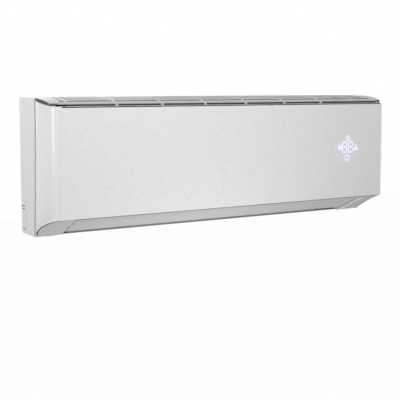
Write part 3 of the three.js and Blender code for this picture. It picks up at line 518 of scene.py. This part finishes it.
MATERIALS = {
    "panel_white": panel_material(),
    "casing_white": plastic("casing_white", 224, 0.002, 0.42, grain=0.12),
    # grille_grey: grey plastic, made darker partly as painted shade for the up-facing roof that catches
    # little light.
    "grille_grey": plastic("grille_grey", 196, 0.0, 0.45, grain=0.10),
    "flap_silver": plastic("flap_silver", 200, -0.004, 0.32, coat=0.2),
    "inner_plastic": plastic("inner_plastic", 214, 0.02, 0.55, grain=0.15),
    "hose_white": plastic("hose_white", 222, 0.015, 0.5),
    "dark_plastic": plastic("dark_plastic", 44, 0.0, 0.45, grain=0.1),
    "bearing_rubber": plastic("bearing_rubber", 34, 0.0, 0.75, grain=0.2),
    "zinc_steel": metal("zinc_steel", (0.60, 0.61, 0.63), 0.38, spangle=0.25),
    "coil_aluminium": fin_material(),
    "pipe_copper": metal("pipe_copper", (0.80, 0.42, 0.27), 0.32, brushed=(1, 30, 30)),
    "nut_brass": metal("nut_brass", (0.78, 0.60, 0.28), 0.3, brushed=(30, 1, 30)),
    "circuit_board": board_material(),
    "light_guide": plastic("light_guide", 232, -0.02, 0.25, coat=0.3),
    "filter_net": net_material(),
}
GLOW = glow_material()
# Painted shade: the seam step is the casing's white plastic, darkened to stand in for the shade in the
# groove.
GROOVE_SHADE_GREY = plastic("painted_groove_shade", 165, 0.0, 0.5, grain=0.1)
# Painted shade: a darker grey for the rear chassis under the flap and the vented end walls under the roof's
# edge.
UNDER_SHADE_GREY = plastic("painted_under_shade", 128, 0.0, 0.55, grain=0.15)
# Painted shade: near black for the gaps, slots and hollows where only shade would show.
SHADE_BLACK = plastic("painted_shade_black", 12, 0.0, 0.9, grain=0.1)
# Painted highlight: a brighter white for the right cheek's web, standing in for the light it catches.
HIGHLIGHT_WHITE = plastic("painted_highlight_white", 248, 0.0, 0.4)
SLOTS = {row["node"]: row["material_slot"] for row in frame["record"]["subparts"]}


def dress_nodes():
    """Every carried-over CAD node gets its slot's procedural finish; the rear chassis gets the painted shade
    grey instead.
    """
    for name, node in frame["nodes"].items():
        node.data.materials.clear()
        # The rear chassis gets a darker grey as painted shade under the flap.
        node.data.materials.append(UNDER_SHADE_GREY if name == "rear_chassis" else MATERIALS[SLOTS[name]])


# ------------------------------------------------------------------ front panel
WING_COLUMNS = 30
ROLL_COLUMNS = 8
PANEL_ROWS = 22


def wing_point(base, t):
    """A point of the right wing, `base` behind the front where the seam is upright; t from foot to top."""
    ends = []
    for edge in (wing_foot, wing_top):
        z = PANEL_BOTTOM if edge is wing_foot else PANEL_TOP
        for _ in range(6):
            z = edge(base * seam_depth(z) / CORNER_Y)
        ends.append(z)
    z = ends[0] + (ends[1] - ends[0]) * t
    y = base * seam_depth(z) / CORNER_Y
    into_roll = max(y - seam_depth(z) + EDGE_REACH, 0)
    roll = EDGE_ROLL - math.sqrt(EDGE_ROLL ** 2 - into_roll ** 2)
    return plan_x(y) - roll, y + lean(y, z), z


def front_panel():
    """The panel's skin: the flat front, both rounded ends and the wings, with a rolled rear edge."""
    columns = []
    rolled = [CORNER_Y - EDGE_REACH * (1 - math.sin(i * math.pi / 2 / ROLL_COLUMNS))
              for i in range(ROLL_COLUMNS)]
    swept = [(CORNER_Y - EDGE_REACH) * (1 - math.sin(i / WING_COLUMNS * math.pi / 2) ** (2 / CORNER_POWER))
             for i in range(WING_COLUMNS + 1)]
    for base in rolled[::-1] + swept:
        columns.append([wing_point(base, j / PANEL_ROWS) for j in range(PANEL_ROWS + 1)])
    left = [[(-x, y, z) for x, y, z in column] for column in reversed(columns)]
    points = [p for column in columns + left for p in column]
    faces = sheet_faces(len(columns) * 2, PANEL_ROWS + 1)
    panel = make("panel_shell", points, faces, MATERIALS["panel_white"], "panel",
                 replaces=("front_panel",), slot="panel_white", sharp=60)
    turn_over(panel)
    thicken(panel, SKIN)
    round_edges(panel, 0.9, 3, 50)


def lip_bar(name, low, high):
    """The straight part of the lip that runs behind the panel's top edge."""
    outline = [(y, PANEL_TOP + rise) for y, rise in LIP_SECTION]
    round_edges(prism(name, outline, low, high, along_x, MATERIALS["panel_white"], "panel",
                      slot="panel_white"), 0.4)


def lip_corner(side, name):
    """The lip where it turns round the end of the unit, growing narrower towards the rear."""
    steps = 16
    points = []
    for i in range(steps + 1):
        y = CORNER_END * (i / steps) ** 2.4
        x = plan_x(y)
        ahead = Vector((plan_x(y + 0.05) - x, 0.05)).normalized() if i else Vector((1, 0))
        narrow = 1 - 0.8 * i / steps
        for inward, rise in LIP_SECTION:
            deep = LIP_SECTION[0][0] + (inward - LIP_SECTION[0][0]) * narrow
            points.append((side * (x - ahead.y * deep), y + ahead.x * deep, wing_top(y) + rise * narrow))
    count = len(LIP_SECTION)
    faces = [tuple(range(count)), tuple(steps * count + k for k in range(count))[::-1]]
    for i in range(steps):
        for k in range(count):
            a, b = i * count + k, i * count + (k + 1) % count
            faces.append((a, b, b + count, a + count))
    corner = make(f"{name}_lip_corner", points, faces, MATERIALS["panel_white"], "panel",
                  slot="panel_white", sharp=50)
    recalc(corner)


def panel_lip():
    """The lip with its hinge pockets and arms, a black strip of painted shade for the seam in front of it,
    and the rail at the foot.
    """
    lip_bar("panel_lip", -POCKET[0], POCKET[0])
    for side, name in ((-1, "left"), (1, "right")):
        lip_corner(side, name)
        block(f"{name}_pocket_rim", sorted((side * (POCKET[0] + 7.4), side * POCKET[1])), (11.4, 13.8),
              (299.2, 301.4), MATERIALS["panel_white"], "panel", slot="panel_white")
        arm = side * ARM_X
        block(f"{name}_hinge_arm", (arm - 1.8, arm + 1.8), (2.9, 16), (292.5, 299),
              MATERIALS["panel_white"], "panel", slot="panel_white")
    # Painted shade: a black strip standing in for the shade of the seam between the panel's face and the
    # lip.
    block("panel_top_seam_shade", (-LIP_HALF, LIP_HALF), (1.9, 2.9), (296.8, 300.3), SHADE_BLACK,
          "panel", edge=0.2, slot="dark_plastic")
    block("panel_bottom_rail", (-LIP_HALF, LIP_HALF), (3.5, 7.8), (55, 57.5),
          MATERIALS["panel_white"], "panel", slot="panel_white")


# ------------------------------------------------------------------ end casings
def casing_outline():
    """The end seen from the side: the seam, the foot, and two rounded corners at the wall."""
    seam_foot = SEAM[-1][1]
    heights = [SEAM_TOP - (SEAM_TOP - seam_foot) * i / 24 for i in range(25)]
    seam = offset([(seam_depth(z), z) for z in heights], SEAM_GROOVE)
    turns = [(CASING_CORNER * math.sin(a), CASING_CORNER * math.cos(a))
             for a in [i * math.pi / 12 for i in range(7)]]
    back = DEPTH - CASING_CORNER
    rounded = [(back + s, HEIGHT - CASING_CORNER + c) for s, c in turns]
    low = [(back + c, CASING_CORNER - s) for s, c in turns]
    return [*seam[1:], (121.5, 0), *reversed(low), *reversed(rounded), (GRILLE_ROOF, HEIGHT),
            (seam[0][0] + 0.5, 319.2)]


def side_casing(side, name):
    """An end casing, open towards the chassis, with black plates of painted shade behind its slots."""
    outline = casing_outline()
    count = len(outline)
    outer, inner = side * HALF, side * (HALF - CASING_WIDTH)
    points = [(outer, y, z) for y, z in outline] + [(inner, y, z) for y, z in outline]
    faces = [tuple(range(count))]
    faces += [(i, i + count, (i + 1) % count + count, (i + 1) % count) for i in range(count)]
    casing = make(f"{name}_casing_shell", points, faces, MATERIALS["casing_white"], "housing",
                  replaces=(f"{name}_side_casing",), slot="casing_white", sharp=40)
    recalc(casing)
    face_towards(casing, 0, side)
    thicken(casing, SKIN)
    cut_casing(casing, side, name)
    round_edges(casing, 1.6, 4, 50)
    joggle(side, name)
    # Painted shade: black plates behind the slots stand in for the shade inside the casing.
    for level, (y, z) in (("upper", ((176, 201.5), (54, 68))), ("lower", ((174, 201), (7, 14)))):
        block(f"{name}_{level}_slot_shade_plate", sorted((side * (HALF - 3.3), side * (HALF - 4.4))), y, z,
              SHADE_BLACK, "housing", edge=0.2, slot="dark_plastic")


def cut_casing(casing, side, name):
    """Two long slots, one short slot and the scored line of the side-piping knock-out."""
    cuts = [((180, 200), (63.3, 65.7), 5), ((180, 200), (56.3, 58.7), 5), ((178, 197), (9.3, 11.7), 5),
            ((170.2, 171.8), (14, 57.5), 0.9)]
    points, faces = [], []
    for (y0, y1), (z0, z1), depth in cuts:
        x0, x1 = side * (HALF - depth), side * (HALF + 5)
        base = len(points)
        points += [(x, y, z) for x in (x0, x1) for y in (y0, y1) for z in (z0, z1)]
        quads = [(0, 1, 3, 2), (4, 6, 7, 5), (0, 4, 5, 1), (2, 3, 7, 6), (0, 2, 6, 4), (1, 5, 7, 3)]
        faces += [tuple(base + k for k in quad) for quad in quads]
    cutter = make(f"{name}_cutter", points, faces, MATERIALS["casing_white"], "housing")
    recalc(cutter)
    carve = casing.modifiers.new("slots", "BOOLEAN")
    carve.object = cutter
    carve.solver = "EXACT"
    bpy.context.view_layer.update()
    settled = casing.evaluated_get(bpy.context.evaluated_depsgraph_get())
    mesh = bpy.data.meshes.new_from_object(settled)
    casing.modifiers.clear()
    casing.data = mesh
    bpy.data.objects.remove(cutter)


def joggle(side, name):
    """The step behind the seam that closes the groove, casing plastic painted grey as the groove's shade."""
    x0, x1 = sorted((side * (HALF - 3.6), side * (HALF - 6.6)))
    heights = [STEP_TOP - (STEP_TOP - STEP_FOOT) * i / 16 for i in range(17)]
    depths = [seam_depth(min(z, SEAM_TOP)) for z in heights]
    front = [(depth - (3.4 if z < 310 else 0), z) for depth, z in zip(depths, heights)]
    back = [(depth + SEAM_GROOVE + 2, z) for depth, z in zip(depths, heights)]
    prism(f"{name}_seam_step", front + back[::-1], x0, x1, along_x, GROOVE_SHADE_GREY, "housing",
          slot="casing_white")
    foot = [(CHEEK_REAR + 0.8, STEP_FOOT), (seam_depth(STEP_FOOT) + SEAM_GROOVE + 2, STEP_FOOT),
            (124.3, 3), (CHEEK_REAR + 0.8, 3)]
    prism(f"{name}_seam_step_foot", foot, x0, x1, along_x, GROOVE_SHADE_GREY, "housing", slot="casing_white")


# ------------------------------------------------------------------ intake grille
def slat_rows():
    """Depths of the roof's grid lines, and which strips between them are slots."""
    lines, slots = [GRILLE_FRONT, 27.0, 30.5], []
    for row in range(SLAT_ROWS):
        start = GRILLE_FRONT + SLAT_FIRST + row * SLAT_PITCH
        end = start + SLAT_PITCH - SLAT_BAR
        slots.append((start, end))
        lines += [start, (start + end) / 2, end]
    lines += [WING_END - 0.1, WING_END + 0.1, 186.0, 192.0, GRILLE_REAR]
    return sorted(lines), slots


def grille_roof():
    """The slatted roof: bars along the unit, crossed by ribs, between two closed rims."""
    lines, slots = slat_rows()
    narrow = HALF - CASING_WIDTH - 0.4
    rim = HALF - 32
    ribs = [RIB_FIRST + i * RIB_PITCH for i in range(RIB_COUNT)]
    edges = [x + s * RIB_WIDTH / 2 for x in ribs for s in (-1, 1)]
    stops = [-narrow, -rim, *edges, rim, narrow]
    columns = [None, *stops, None]
    points = []
    for k, x in enumerate(columns):
        for y in lines:
            wide = plan_x(min(y, WING_END)) - 0.1
            points.append(((-wide if k == 0 else wide) if x is None else x, y, roof(y)))

    def keep(i, j):
        y = (lines[j] + lines[j + 1]) / 2
        if columns[i] is None or columns[i + 1] is None:
            return y < WING_END
        x = (columns[i] + columns[i + 1]) / 2
        in_slot = any(start < y < end for start, end in slots)
        on_rib = any(abs(x - rib) < RIB_WIDTH / 2 for rib in ribs)
        return not in_slot or on_rib or abs(x) > rim

    faces = sheet_faces(len(columns), len(lines), keep)
    deck = make("grille_roof", points, faces, MATERIALS["grille_grey"], "housing",
                replaces=("top_grille",), slot="grille_grey", sharp=60)
    thicken(deck, SLAT_THICK)
    round_edges(deck, 0.6, 2, 50)


def grille_nose():
    """The grille's turned-down front edge, the dark strip of painted shade under it, and the ribs across the
    slot.
    """
    outline = [(28.4, 309.2), (25.8, 308.2), (24.4, 307.1), (24.0, 306.0), (24.2, 305.1), (26.4, 305.1),
               (27.4, 306.4)]
    prism("grille_nose", outline, NOSE_INSET - HALF, HALF - NOSE_INSET, along_x,
          MATERIALS["grille_grey"], "housing", slot="grille_grey", sharp=50)
    last_rib = RIB_FIRST + (RIB_COUNT - 2) * RIB_PITCH
    apron_y, apron_z = (25.2, 26.8), (296, 305.4)
    # Painted shade: the apron's black and dark grey stand in for the shaded inside seen through the slot.
    for name, low, high, apron_shade in (("left", APRON_INSET - HALF, RIB_FIRST, SHADE_BLACK),
                                  ("middle", RIB_FIRST, last_rib, MATERIALS["dark_plastic"]),
                                  ("right", last_rib, HALF - APRON_INSET, SHADE_BLACK)):
        block(f"grille_slot_shade_{name}", (low, high), apron_y, apron_z, apron_shade, "housing",
              edge=0.3, slot="dark_plastic")
    rib_y, rib_z = (18.8, 25.6), (300, 306.6)
    for rib in range(1, RIB_COUNT - 1):
        x = RIB_FIRST + rib * RIB_PITCH
        block(f"grille_rib_{rib + 1}", (x - RIB_WIDTH / 2, x + RIB_WIDTH / 2), rib_y, rib_z,
              MATERIALS["grille_grey"], "housing", edge=0.8, slot="grille_grey")


def end_ladder(side, name):
    """The vented wall over the panel's wing, round the rounded end, painted darker as shade under the roof's
    edge, with a black sheet of painted shade behind its vents.
    """
    depths = [GRILLE_FRONT, 26.5]
    y = VENT_FIRST
    openings = []
    while y < VENT_END:
        depths += [y, y + VENT_LENGTH / 2, y + VENT_LENGTH]
        openings.append((y, y + VENT_LENGTH))
        y += VENT_PITCH
    depths = [d for d in depths if d < VENT_WALL_END - 0.1] + [VENT_WALL_END]
    points = []
    for y in depths:
        floor = wing_top(y) + SLIT
        top = roof(y) - 1.5
        x = side * (plan_x(y) - 0.15)
        for z in (floor, min(floor + 0.7, top), max(min(floor + 6.4, top - 0.5), floor + 0.8), top):
            points.append((x, y, z))

    def keep(i, j):
        middle = (depths[i] + depths[i + 1]) / 2
        return j != 1 or not any(a < middle < b for a, b in openings)

    # Painted shade: the vented wall is given the darker grey as shade under the roof's edge.
    wall = make(f"{name}_grille_end", points, sheet_faces(len(depths), 4, keep),
                UNDER_SHADE_GREY, "housing", slot="grille_grey", sharp=60)
    face_towards(wall, 0, side)
    thicken(wall, 1.4)
    round_edges(wall, 0.3, 2, 50)
    back = []
    for y in depths:
        x = side * (plan_x(y) - SHADE_SHEET_INSET)
        back += [(x, y, wing_top(y) + SLIT - 0.6), (x, y, roof(y) - 2.5)]
    # Painted shade: a black sheet behind the vents stands in for the shade inside.
    vent_shade_sheet = make(f"{name}_grille_end_shade_sheet", back, sheet_faces(len(depths), 2), SHADE_BLACK, "housing",
                 slot="dark_plastic", sharp=60)
    face_towards(vent_shade_sheet, 0, side)
    thicken(vent_shade_sheet, 0.8)


# ------------------------------------------------------------------ flap and cheeks
def slant(piece):
    """Leans the flap's left end inwards towards the rear, along the cheek's edge."""
    for vertex in piece.data.vertices:
        if vertex.co.x < 0:
            depth = vertex.co.y * 1000 + DEPTH
            vertex.co.x += SEAM_SLANT * min(max(depth / CHEEK_REAR, 0), 1) / 1000


def flap():
    """The curved outlet flap and its two pins."""
    outer = underside(FLAP_FRONT, FLAP_REAR, FLAP_BELLY, 40)
    inner = [(y, min(z, FLAP_FRONT[1])) for y, z in offset(outer, FLAP_THICK)]
    blade = prism("flap_blade", outer + inner[::-1], FLAP_LEFT + 1.9, FLAP_RIGHT - 1.4, along_x,
                  MATERIALS["flap_silver"], "flap", replaces=("flap",), slot="flap_silver", sharp=35)
    slant(blade)
    round_edges(blade, 1.0, 4, 45)
    turns = [i * math.pi / 12 for i in range(24)]
    ring = [(FLAP_PIVOT[0] + FLAP_PIN * math.cos(a), FLAP_PIVOT[1] + FLAP_PIN * math.sin(a)) for a in turns]
    pins = (("left", FLAP_LEFT - 5, FLAP_LEFT + 3), ("right", FLAP_RIGHT - 3, FLAP_RIGHT + 7))
    for name, low, high in pins:
        prism(f"flap_{name}_pin", ring, low, high, along_x, MATERIALS["flap_silver"], "flap",
              slot="flap_silver")


CHEEK_COLUMNS = 30
CHEEK_ROWS = 18


def cheek(side, name):
    """The curved skin between the flap's end and the wing's foot, and the web along the flap, the right one
    painted white as a highlight; on the left a black strip of painted shade runs along the seam.
    """
    seam_x = -FLAP_LEFT if side < 0 else FLAP_RIGHT
    top = [(seam_x + (HALF - CORNER_X - seam_x) * i / 4, CHEEK_INSET) for i in range(4)]
    for i in range(41):
        y = CHEEK_INSET + (CHEEK_CORNER_END - CHEEK_INSET) * (1 - math.cos(i / 40 * math.pi / 2))
        top.append((plan_x(y, CHEEK_INSET), y))
    lengths = [0.0]
    for p, q in zip(top, top[1:]):
        lengths.append(lengths[-1] + math.dist(p, q))
    by_length = [(length, p[0]) for length, p in zip(lengths, top)]
    depth_by_length = [(length, p[1]) for length, p in zip(lengths, top)]
    points = []
    for i in range(CHEEK_COLUMNS + 1):
        share = i / CHEEK_COLUMNS
        x = between(by_length, share * lengths[-1])
        depth = between(depth_by_length, share * lengths[-1])
        foot_seam = seam_x - (SEAM_SLANT - 1 if side < 0 else 0)
        foot_x = foot_seam + (HALF - CHEEK_INSET - foot_seam) * share
        z = wing_foot(depth) - SLIT
        start = (depth + lean(depth, z), z)
        line = underside(start, (CHEEK_REAR, CHEEK_FOOT), CHEEK_BELLY * (1 - share), CHEEK_ROWS)
        rise = min(max((share - 0.3) / 0.5, 0), 1)
        bulge = CHEEK_BULGE * rise * rise * (3 - 2 * rise)
        for j, (y, z) in enumerate(line):
            t = j / CHEEK_ROWS
            swell = bulge * 4 * t * (1 - t)
            points.append((side * (x + (foot_x - x) * t), y, max(z - swell, CHEEK_FOOT)))
    faces = sheet_faces(CHEEK_COLUMNS + 1, CHEEK_ROWS + 1)
    shell = make(f"{name}_cheek_shell", points, faces, MATERIALS["flap_silver"], "housing",
                 replaces=(f"{name}_cheek",), slot="flap_silver", sharp=60)
    face_towards(shell, 2, -1)
    thicken(shell, SKIN)
    round_edges(shell, 0.6, 2, 50)
    if side < 0:
        # Painted shade: a black strip along the left seam stands in for the shadow in the gap.
        edge = [(x + wide, y, z - 0.2) for wide in (-0.1, 1.1) for x, y, z in points[:CHEEK_ROWS + 1]]
        seam_shade_strip = make("left_cheek_seam_shade", edge, sheet_faces(2, CHEEK_ROWS + 1), SHADE_BLACK, "housing",
                    slot="bearing_rubber")
        face_towards(seam_shade_strip, 2, -1)
        thicken(seam_shade_strip, 2.0)
    proud = 3.2 if side > 0 else -0.3
    profile = [(p[1], max(p[2] - proud, 0.4)) for p in points[:CHEEK_ROWS + 1]]
    web = [*profile, (CHEEK_REAR + 7, 6), (CHEEK_REAR + 7, 27), (CHEEK_REAR, 32), (100, 34), (30, 49.6)]
    low, high = sorted((side * (seam_x + 0.2), side * (seam_x + 3)))
    # Painted highlight: the right web is painted white for the light it catches.
    wall = prism(f"{name}_cheek_web", web, low, high, along_x,
                 HIGHLIGHT_WHITE if side > 0 else MATERIALS["flap_silver"], "housing", slot="flap_silver")
    round_edges(wall, 0.3, 2, 50)


def outlet_corner_shade():
    """Painted shade: a black wedge for the shaded inside that shows between the left cheek and the flap's
    rear corner.
    """
    front, back = 123.8, 124.6
    wedge = [(-423.6, 1.2), (-411.0, 1.2), (-402.0, 3.6), (-388.0, 9.2), (-423.6, 9.2)]
    prism("outlet_corner_shade", wedge, front, back, lambda x, z, y: (x, y, z), SHADE_BLACK, "housing",
          slot="dark_plastic")


# ------------------------------------------------------------------ lit symbols
class Drawing:
    """Flat shapes on the panel's face, gathered into one thin raised mesh."""

    def __init__(self):
        self.points = []
        self.faces = []

    def polygon(self, outline, centre):
        """outline is in millimetres round centre (x, z), counter-clockwise seen from the front."""
        count = len(outline)
        base = len(self.points)
        for rise in (0.06, -0.3):
            for a, b in outline:
                x, z = centre[0] + a, centre[1] + b
                self.points.append((x, lean(0, z) - rise, z))
        self.faces.append(tuple(base + i for i in range(count)))
        self.faces.append(tuple(base + count + i for i in reversed(range(count))))
        for i in range(count):
            j = (i + 1) % count
            self.faces.append((base + i, base + i + count, base + j + count, base + j))

    def stroke(self, path, width, centre, closed=False):
        """A line of even width through a path of (a, b) points, one quad for each step."""
        count = len(path)
        steps = count if closed else count - 1
        left, right = [], []
        for i in range(count):
            before = path[(i - 1) % count] if closed or i else path[i]
            after = path[(i + 1) % count] if closed or i < count - 1 else path[i]
            way = Vector((after[0] - before[0], after[1] - before[1])).normalized() * width / 2
            left.append((path[i][0] - way.y, path[i][1] + way.x))
            right.append((path[i][0] + way.y, path[i][1] - way.x))
        for i in range(steps):
            j = (i + 1) % count
            self.polygon([right[i], right[j], left[j], left[i]], centre)


def arc(radius, start, end, steps):
    """Points of a circle round (0, 0) between two angles in degrees."""
    angles = [math.radians(start + (end - start) * i / steps) for i in range(steps + 1)]
    return [(radius * math.cos(a), radius * math.sin(a)) for a in angles]


def digit(drawing, centre):
    """An 8 of seven slim bars."""
    wide, tall, bar = 7.0, 13.6, 1.5
    for z in (-tall, 0, tall):
        drawing.polygon([(-wide + 2, z - bar), (wide - 2, z - bar), (wide - 0.6, z), (wide - 2, z + bar),
                         (-wide + 2, z + bar), (-wide + 0.6, z)], centre)
    for x in (-wide, wide):
        for z in (-tall / 2, tall / 2):
            half = tall / 2 - 0.9
            low, high = z - half, z + half
            drawing.polygon([(x, low), (x + bar, low + 1.6), (x + bar, high - 1.6), (x, high),
                             (x - bar, high - 1.6), (x - bar, low + 1.6)], centre)


def snowflake(drawing, centre):
    """Six arms, each with two short branches."""
    for k in range(6):
        turn = math.radians(30 + 60 * k)
        along = (math.cos(turn), math.sin(turn))
        drawing.stroke([(0, 0), (8.4 * along[0], 8.4 * along[1])], 1.5, centre)
        for branch in (-55, 55):
            side = math.radians(30 + 60 * k + branch)
            root = (4.6 * along[0], 4.6 * along[1])
            tip = (root[0] + 3.4 * math.cos(side), root[1] + 3.4 * math.sin(side))
            drawing.stroke([root, tip], 1.2, centre)


def drop(drawing, centre, size):
    """A water drop with its point up."""
    outline = [(0, size)]
    outline += [(0.62 * size * math.cos(a), -0.3 * size + 0.62 * size * math.sin(a))
                for a in [math.radians(150 + 240 * i / 14) for i in range(15)]]
    drawing.polygon(outline, centre)


def symbols():
    """The lit display: two digits, a sun, a snowflake, three drops and the power sign."""
    drawing = Drawing()
    for x in (-9.9, 9.9):
        digit(drawing, (DISPLAY_X + x, DISPLAY_Z + 0.6))
    sun = (345.5, 209.5)
    drawing.stroke(arc(6.4, 0, 345, 23), 1.5, sun, closed=True)
    drawing.polygon(arc(2.6, 0, 330, 11), sun)
    snowflake(drawing, (318.4, 185.6))
    for x, z, size in ((367.8, 180.4, 4.6), (376.8, 180.4, 4.6), (372.3, 188.4, 5.2)):
        drop(drawing, (x, z), size)
    power = (343.8, 158.0)
    drawing.stroke(arc(7.2, 120, 420, 26), 2.5, power)
    drawing.stroke([(0, 2.0), (0, 9.6)], 2.5, power)
    lit = make("display_symbols", drawing.points, drawing.faces, GLOW, "panel", slot="light_guide")
    recalc(lit)


# ------------------------------------------------------------------ stage, light and camera
def stage():
    """A white floor far below, which the camera sees as nearly plain white."""
    corners = ((-1, -1), (1, -1), (1, 1), (-1, 1))
    points = [(x * FLOOR_HALF, y * FLOOR_HALF, FLOOR_LEVEL) for x, y in corners]
    mesh = bpy.data.meshes.new("floor")
    mesh.from_pydata([at(*p) for p in points], [], [(0, 1, 2, 3)])
    floor = bpy.data.objects.new("floor", mesh)
    bpy.context.scene.collection.objects.link(floor)
    made = Nodes("floor")
    made.set(made.shader, "Base Color", made.mix(made.ramp(made.noise(2, 2), 0, 1), tint(243), tint(245)))
    made.shader.inputs["Roughness"].default_value = 0.9
    white = made.add("ShaderNodeEmission", Strength=1.0)
    path = made.add("ShaderNodeLightPath")
    share = made.add("ShaderNodeMath")
    share.operation = "MULTIPLY"
    share.inputs[1].default_value = FLOOR_WHITE
    made.tree.links.new(path.outputs["Is Camera Ray"], share.inputs[0])
    blend = made.add("ShaderNodeMixShader")
    made.tree.links.new(share.outputs[0], blend.inputs[0])
    made.tree.links.new(made.shader.outputs[0], blend.inputs[1])
    made.tree.links.new(white.outputs[0], blend.inputs[2])
    made.tree.links.new(blend.outputs[0], made.tree.nodes["Material Output"].inputs["Surface"])
    floor.data.materials.append(made.material)


def world():
    """White to the camera and in mirrored or refracted light, dimmer as a light on the unit."""
    sky = bpy.data.worlds.new("studio")
    bpy.context.scene.world = sky
    sky.use_nodes = True
    tree = sky.node_tree
    background = tree.nodes["Background"]
    path = tree.nodes.new("ShaderNodeLightPath")
    seen = tree.nodes.new("ShaderNodeMath")
    seen.operation = "MAXIMUM"
    also = tree.nodes.new("ShaderNodeMath")
    also.operation = "MAXIMUM"
    tree.links.new(path.outputs["Is Camera Ray"], seen.inputs[0])
    tree.links.new(path.outputs["Is Glossy Ray"], seen.inputs[1])
    tree.links.new(seen.outputs[0], also.inputs[0])
    tree.links.new(path.outputs["Is Transmission Ray"], also.inputs[1])
    strength = tree.nodes.new("ShaderNodeMapRange")
    strength.inputs["To Min"].default_value = SKY_ON_OBJECT
    strength.inputs["To Max"].default_value = 1.0
    tree.links.new(also.outputs[0], strength.inputs["Value"])
    tree.links.new(strength.outputs["Result"], background.inputs["Strength"])
    background.inputs["Color"].default_value = (1, 1, 1, 1)


def softbox(name, place, target, size, power):
    """A rectangular lamp turned towards a target, unseen by the camera."""
    light = bpy.data.lights.new(name, "AREA")
    light.shape = "RECTANGLE"
    light.size, light.size_y = size
    light.energy = power
    lamp = bpy.data.objects.new(name, light)
    lamp.location = place
    lamp.rotation_euler = (Vector(target) - Vector(place)).to_track_quat("-Z", "Y").to_euler()
    lamp.visible_camera = False
    bpy.context.scene.collection.objects.link(lamp)


PICTURE_PIXELS = 400
FOCAL_PIXELS = 878.1
SHIFT_PIXELS = 25
CAMERA_PLACE = (-1.1774, -1.9867, 0.1837)
CAMERA_DIP = 5.74
CAMERA_TURN = 30.93


def camera():
    data = bpy.data.cameras.new("camera")
    data.sensor_width = 36
    data.lens = FOCAL_PIXELS * data.sensor_width / PICTURE_PIXELS
    data.shift_y = -SHIFT_PIXELS / PICTURE_PIXELS
    data.clip_end = 100
    seat = bpy.data.objects.new("camera", data)
    seat.location = CAMERA_PLACE
    seat.rotation_euler = (math.radians(90 - CAMERA_DIP), 0, math.radians(-CAMERA_TURN))
    bpy.context.scene.collection.objects.link(seat)
    bpy.context.scene.camera = seat


# ------------------------------------------------------------------ assembly
camera()
dress_nodes()
front_panel()
panel_lip()
for side, name in ((-1, "left"), (1, "right")):
    side_casing(side, name)
    end_ladder(side, name)
    cheek(side, name)
grille_roof()
grille_nose()
flap()
outlet_corner_shade()
symbols()
stage()
world()
softbox("key", (-0.3, -1.1, 0.7), (-0.3, -0.2, 0), (0.9, 0.9), 7.4)
softbox("left_front", (-2.4, -0.8, 0.5), (-0.48, -0.18, 0), (0.9, 0.8), 15)
softbox("left_rear", (-2.2, 0.7, 0.45), (-0.48, -0.18, 0), (0.5, 1.2), 9)
softbox("right", (2.2, -0.3, 0.45), (0.48, -0.18, 0), (0.8, 0.8), 26)
softbox("under", (-0.08, -0.42, -0.55), (-0.08, -0.14, -0.1), (0.4, 0.3), 1.6)
softbox("rear", (0.0, 2.2, 0.6), (0, 0, 0), (2.0, 1.2), 20)
bpy.context.scene.view_settings.view_transform = "Standard"
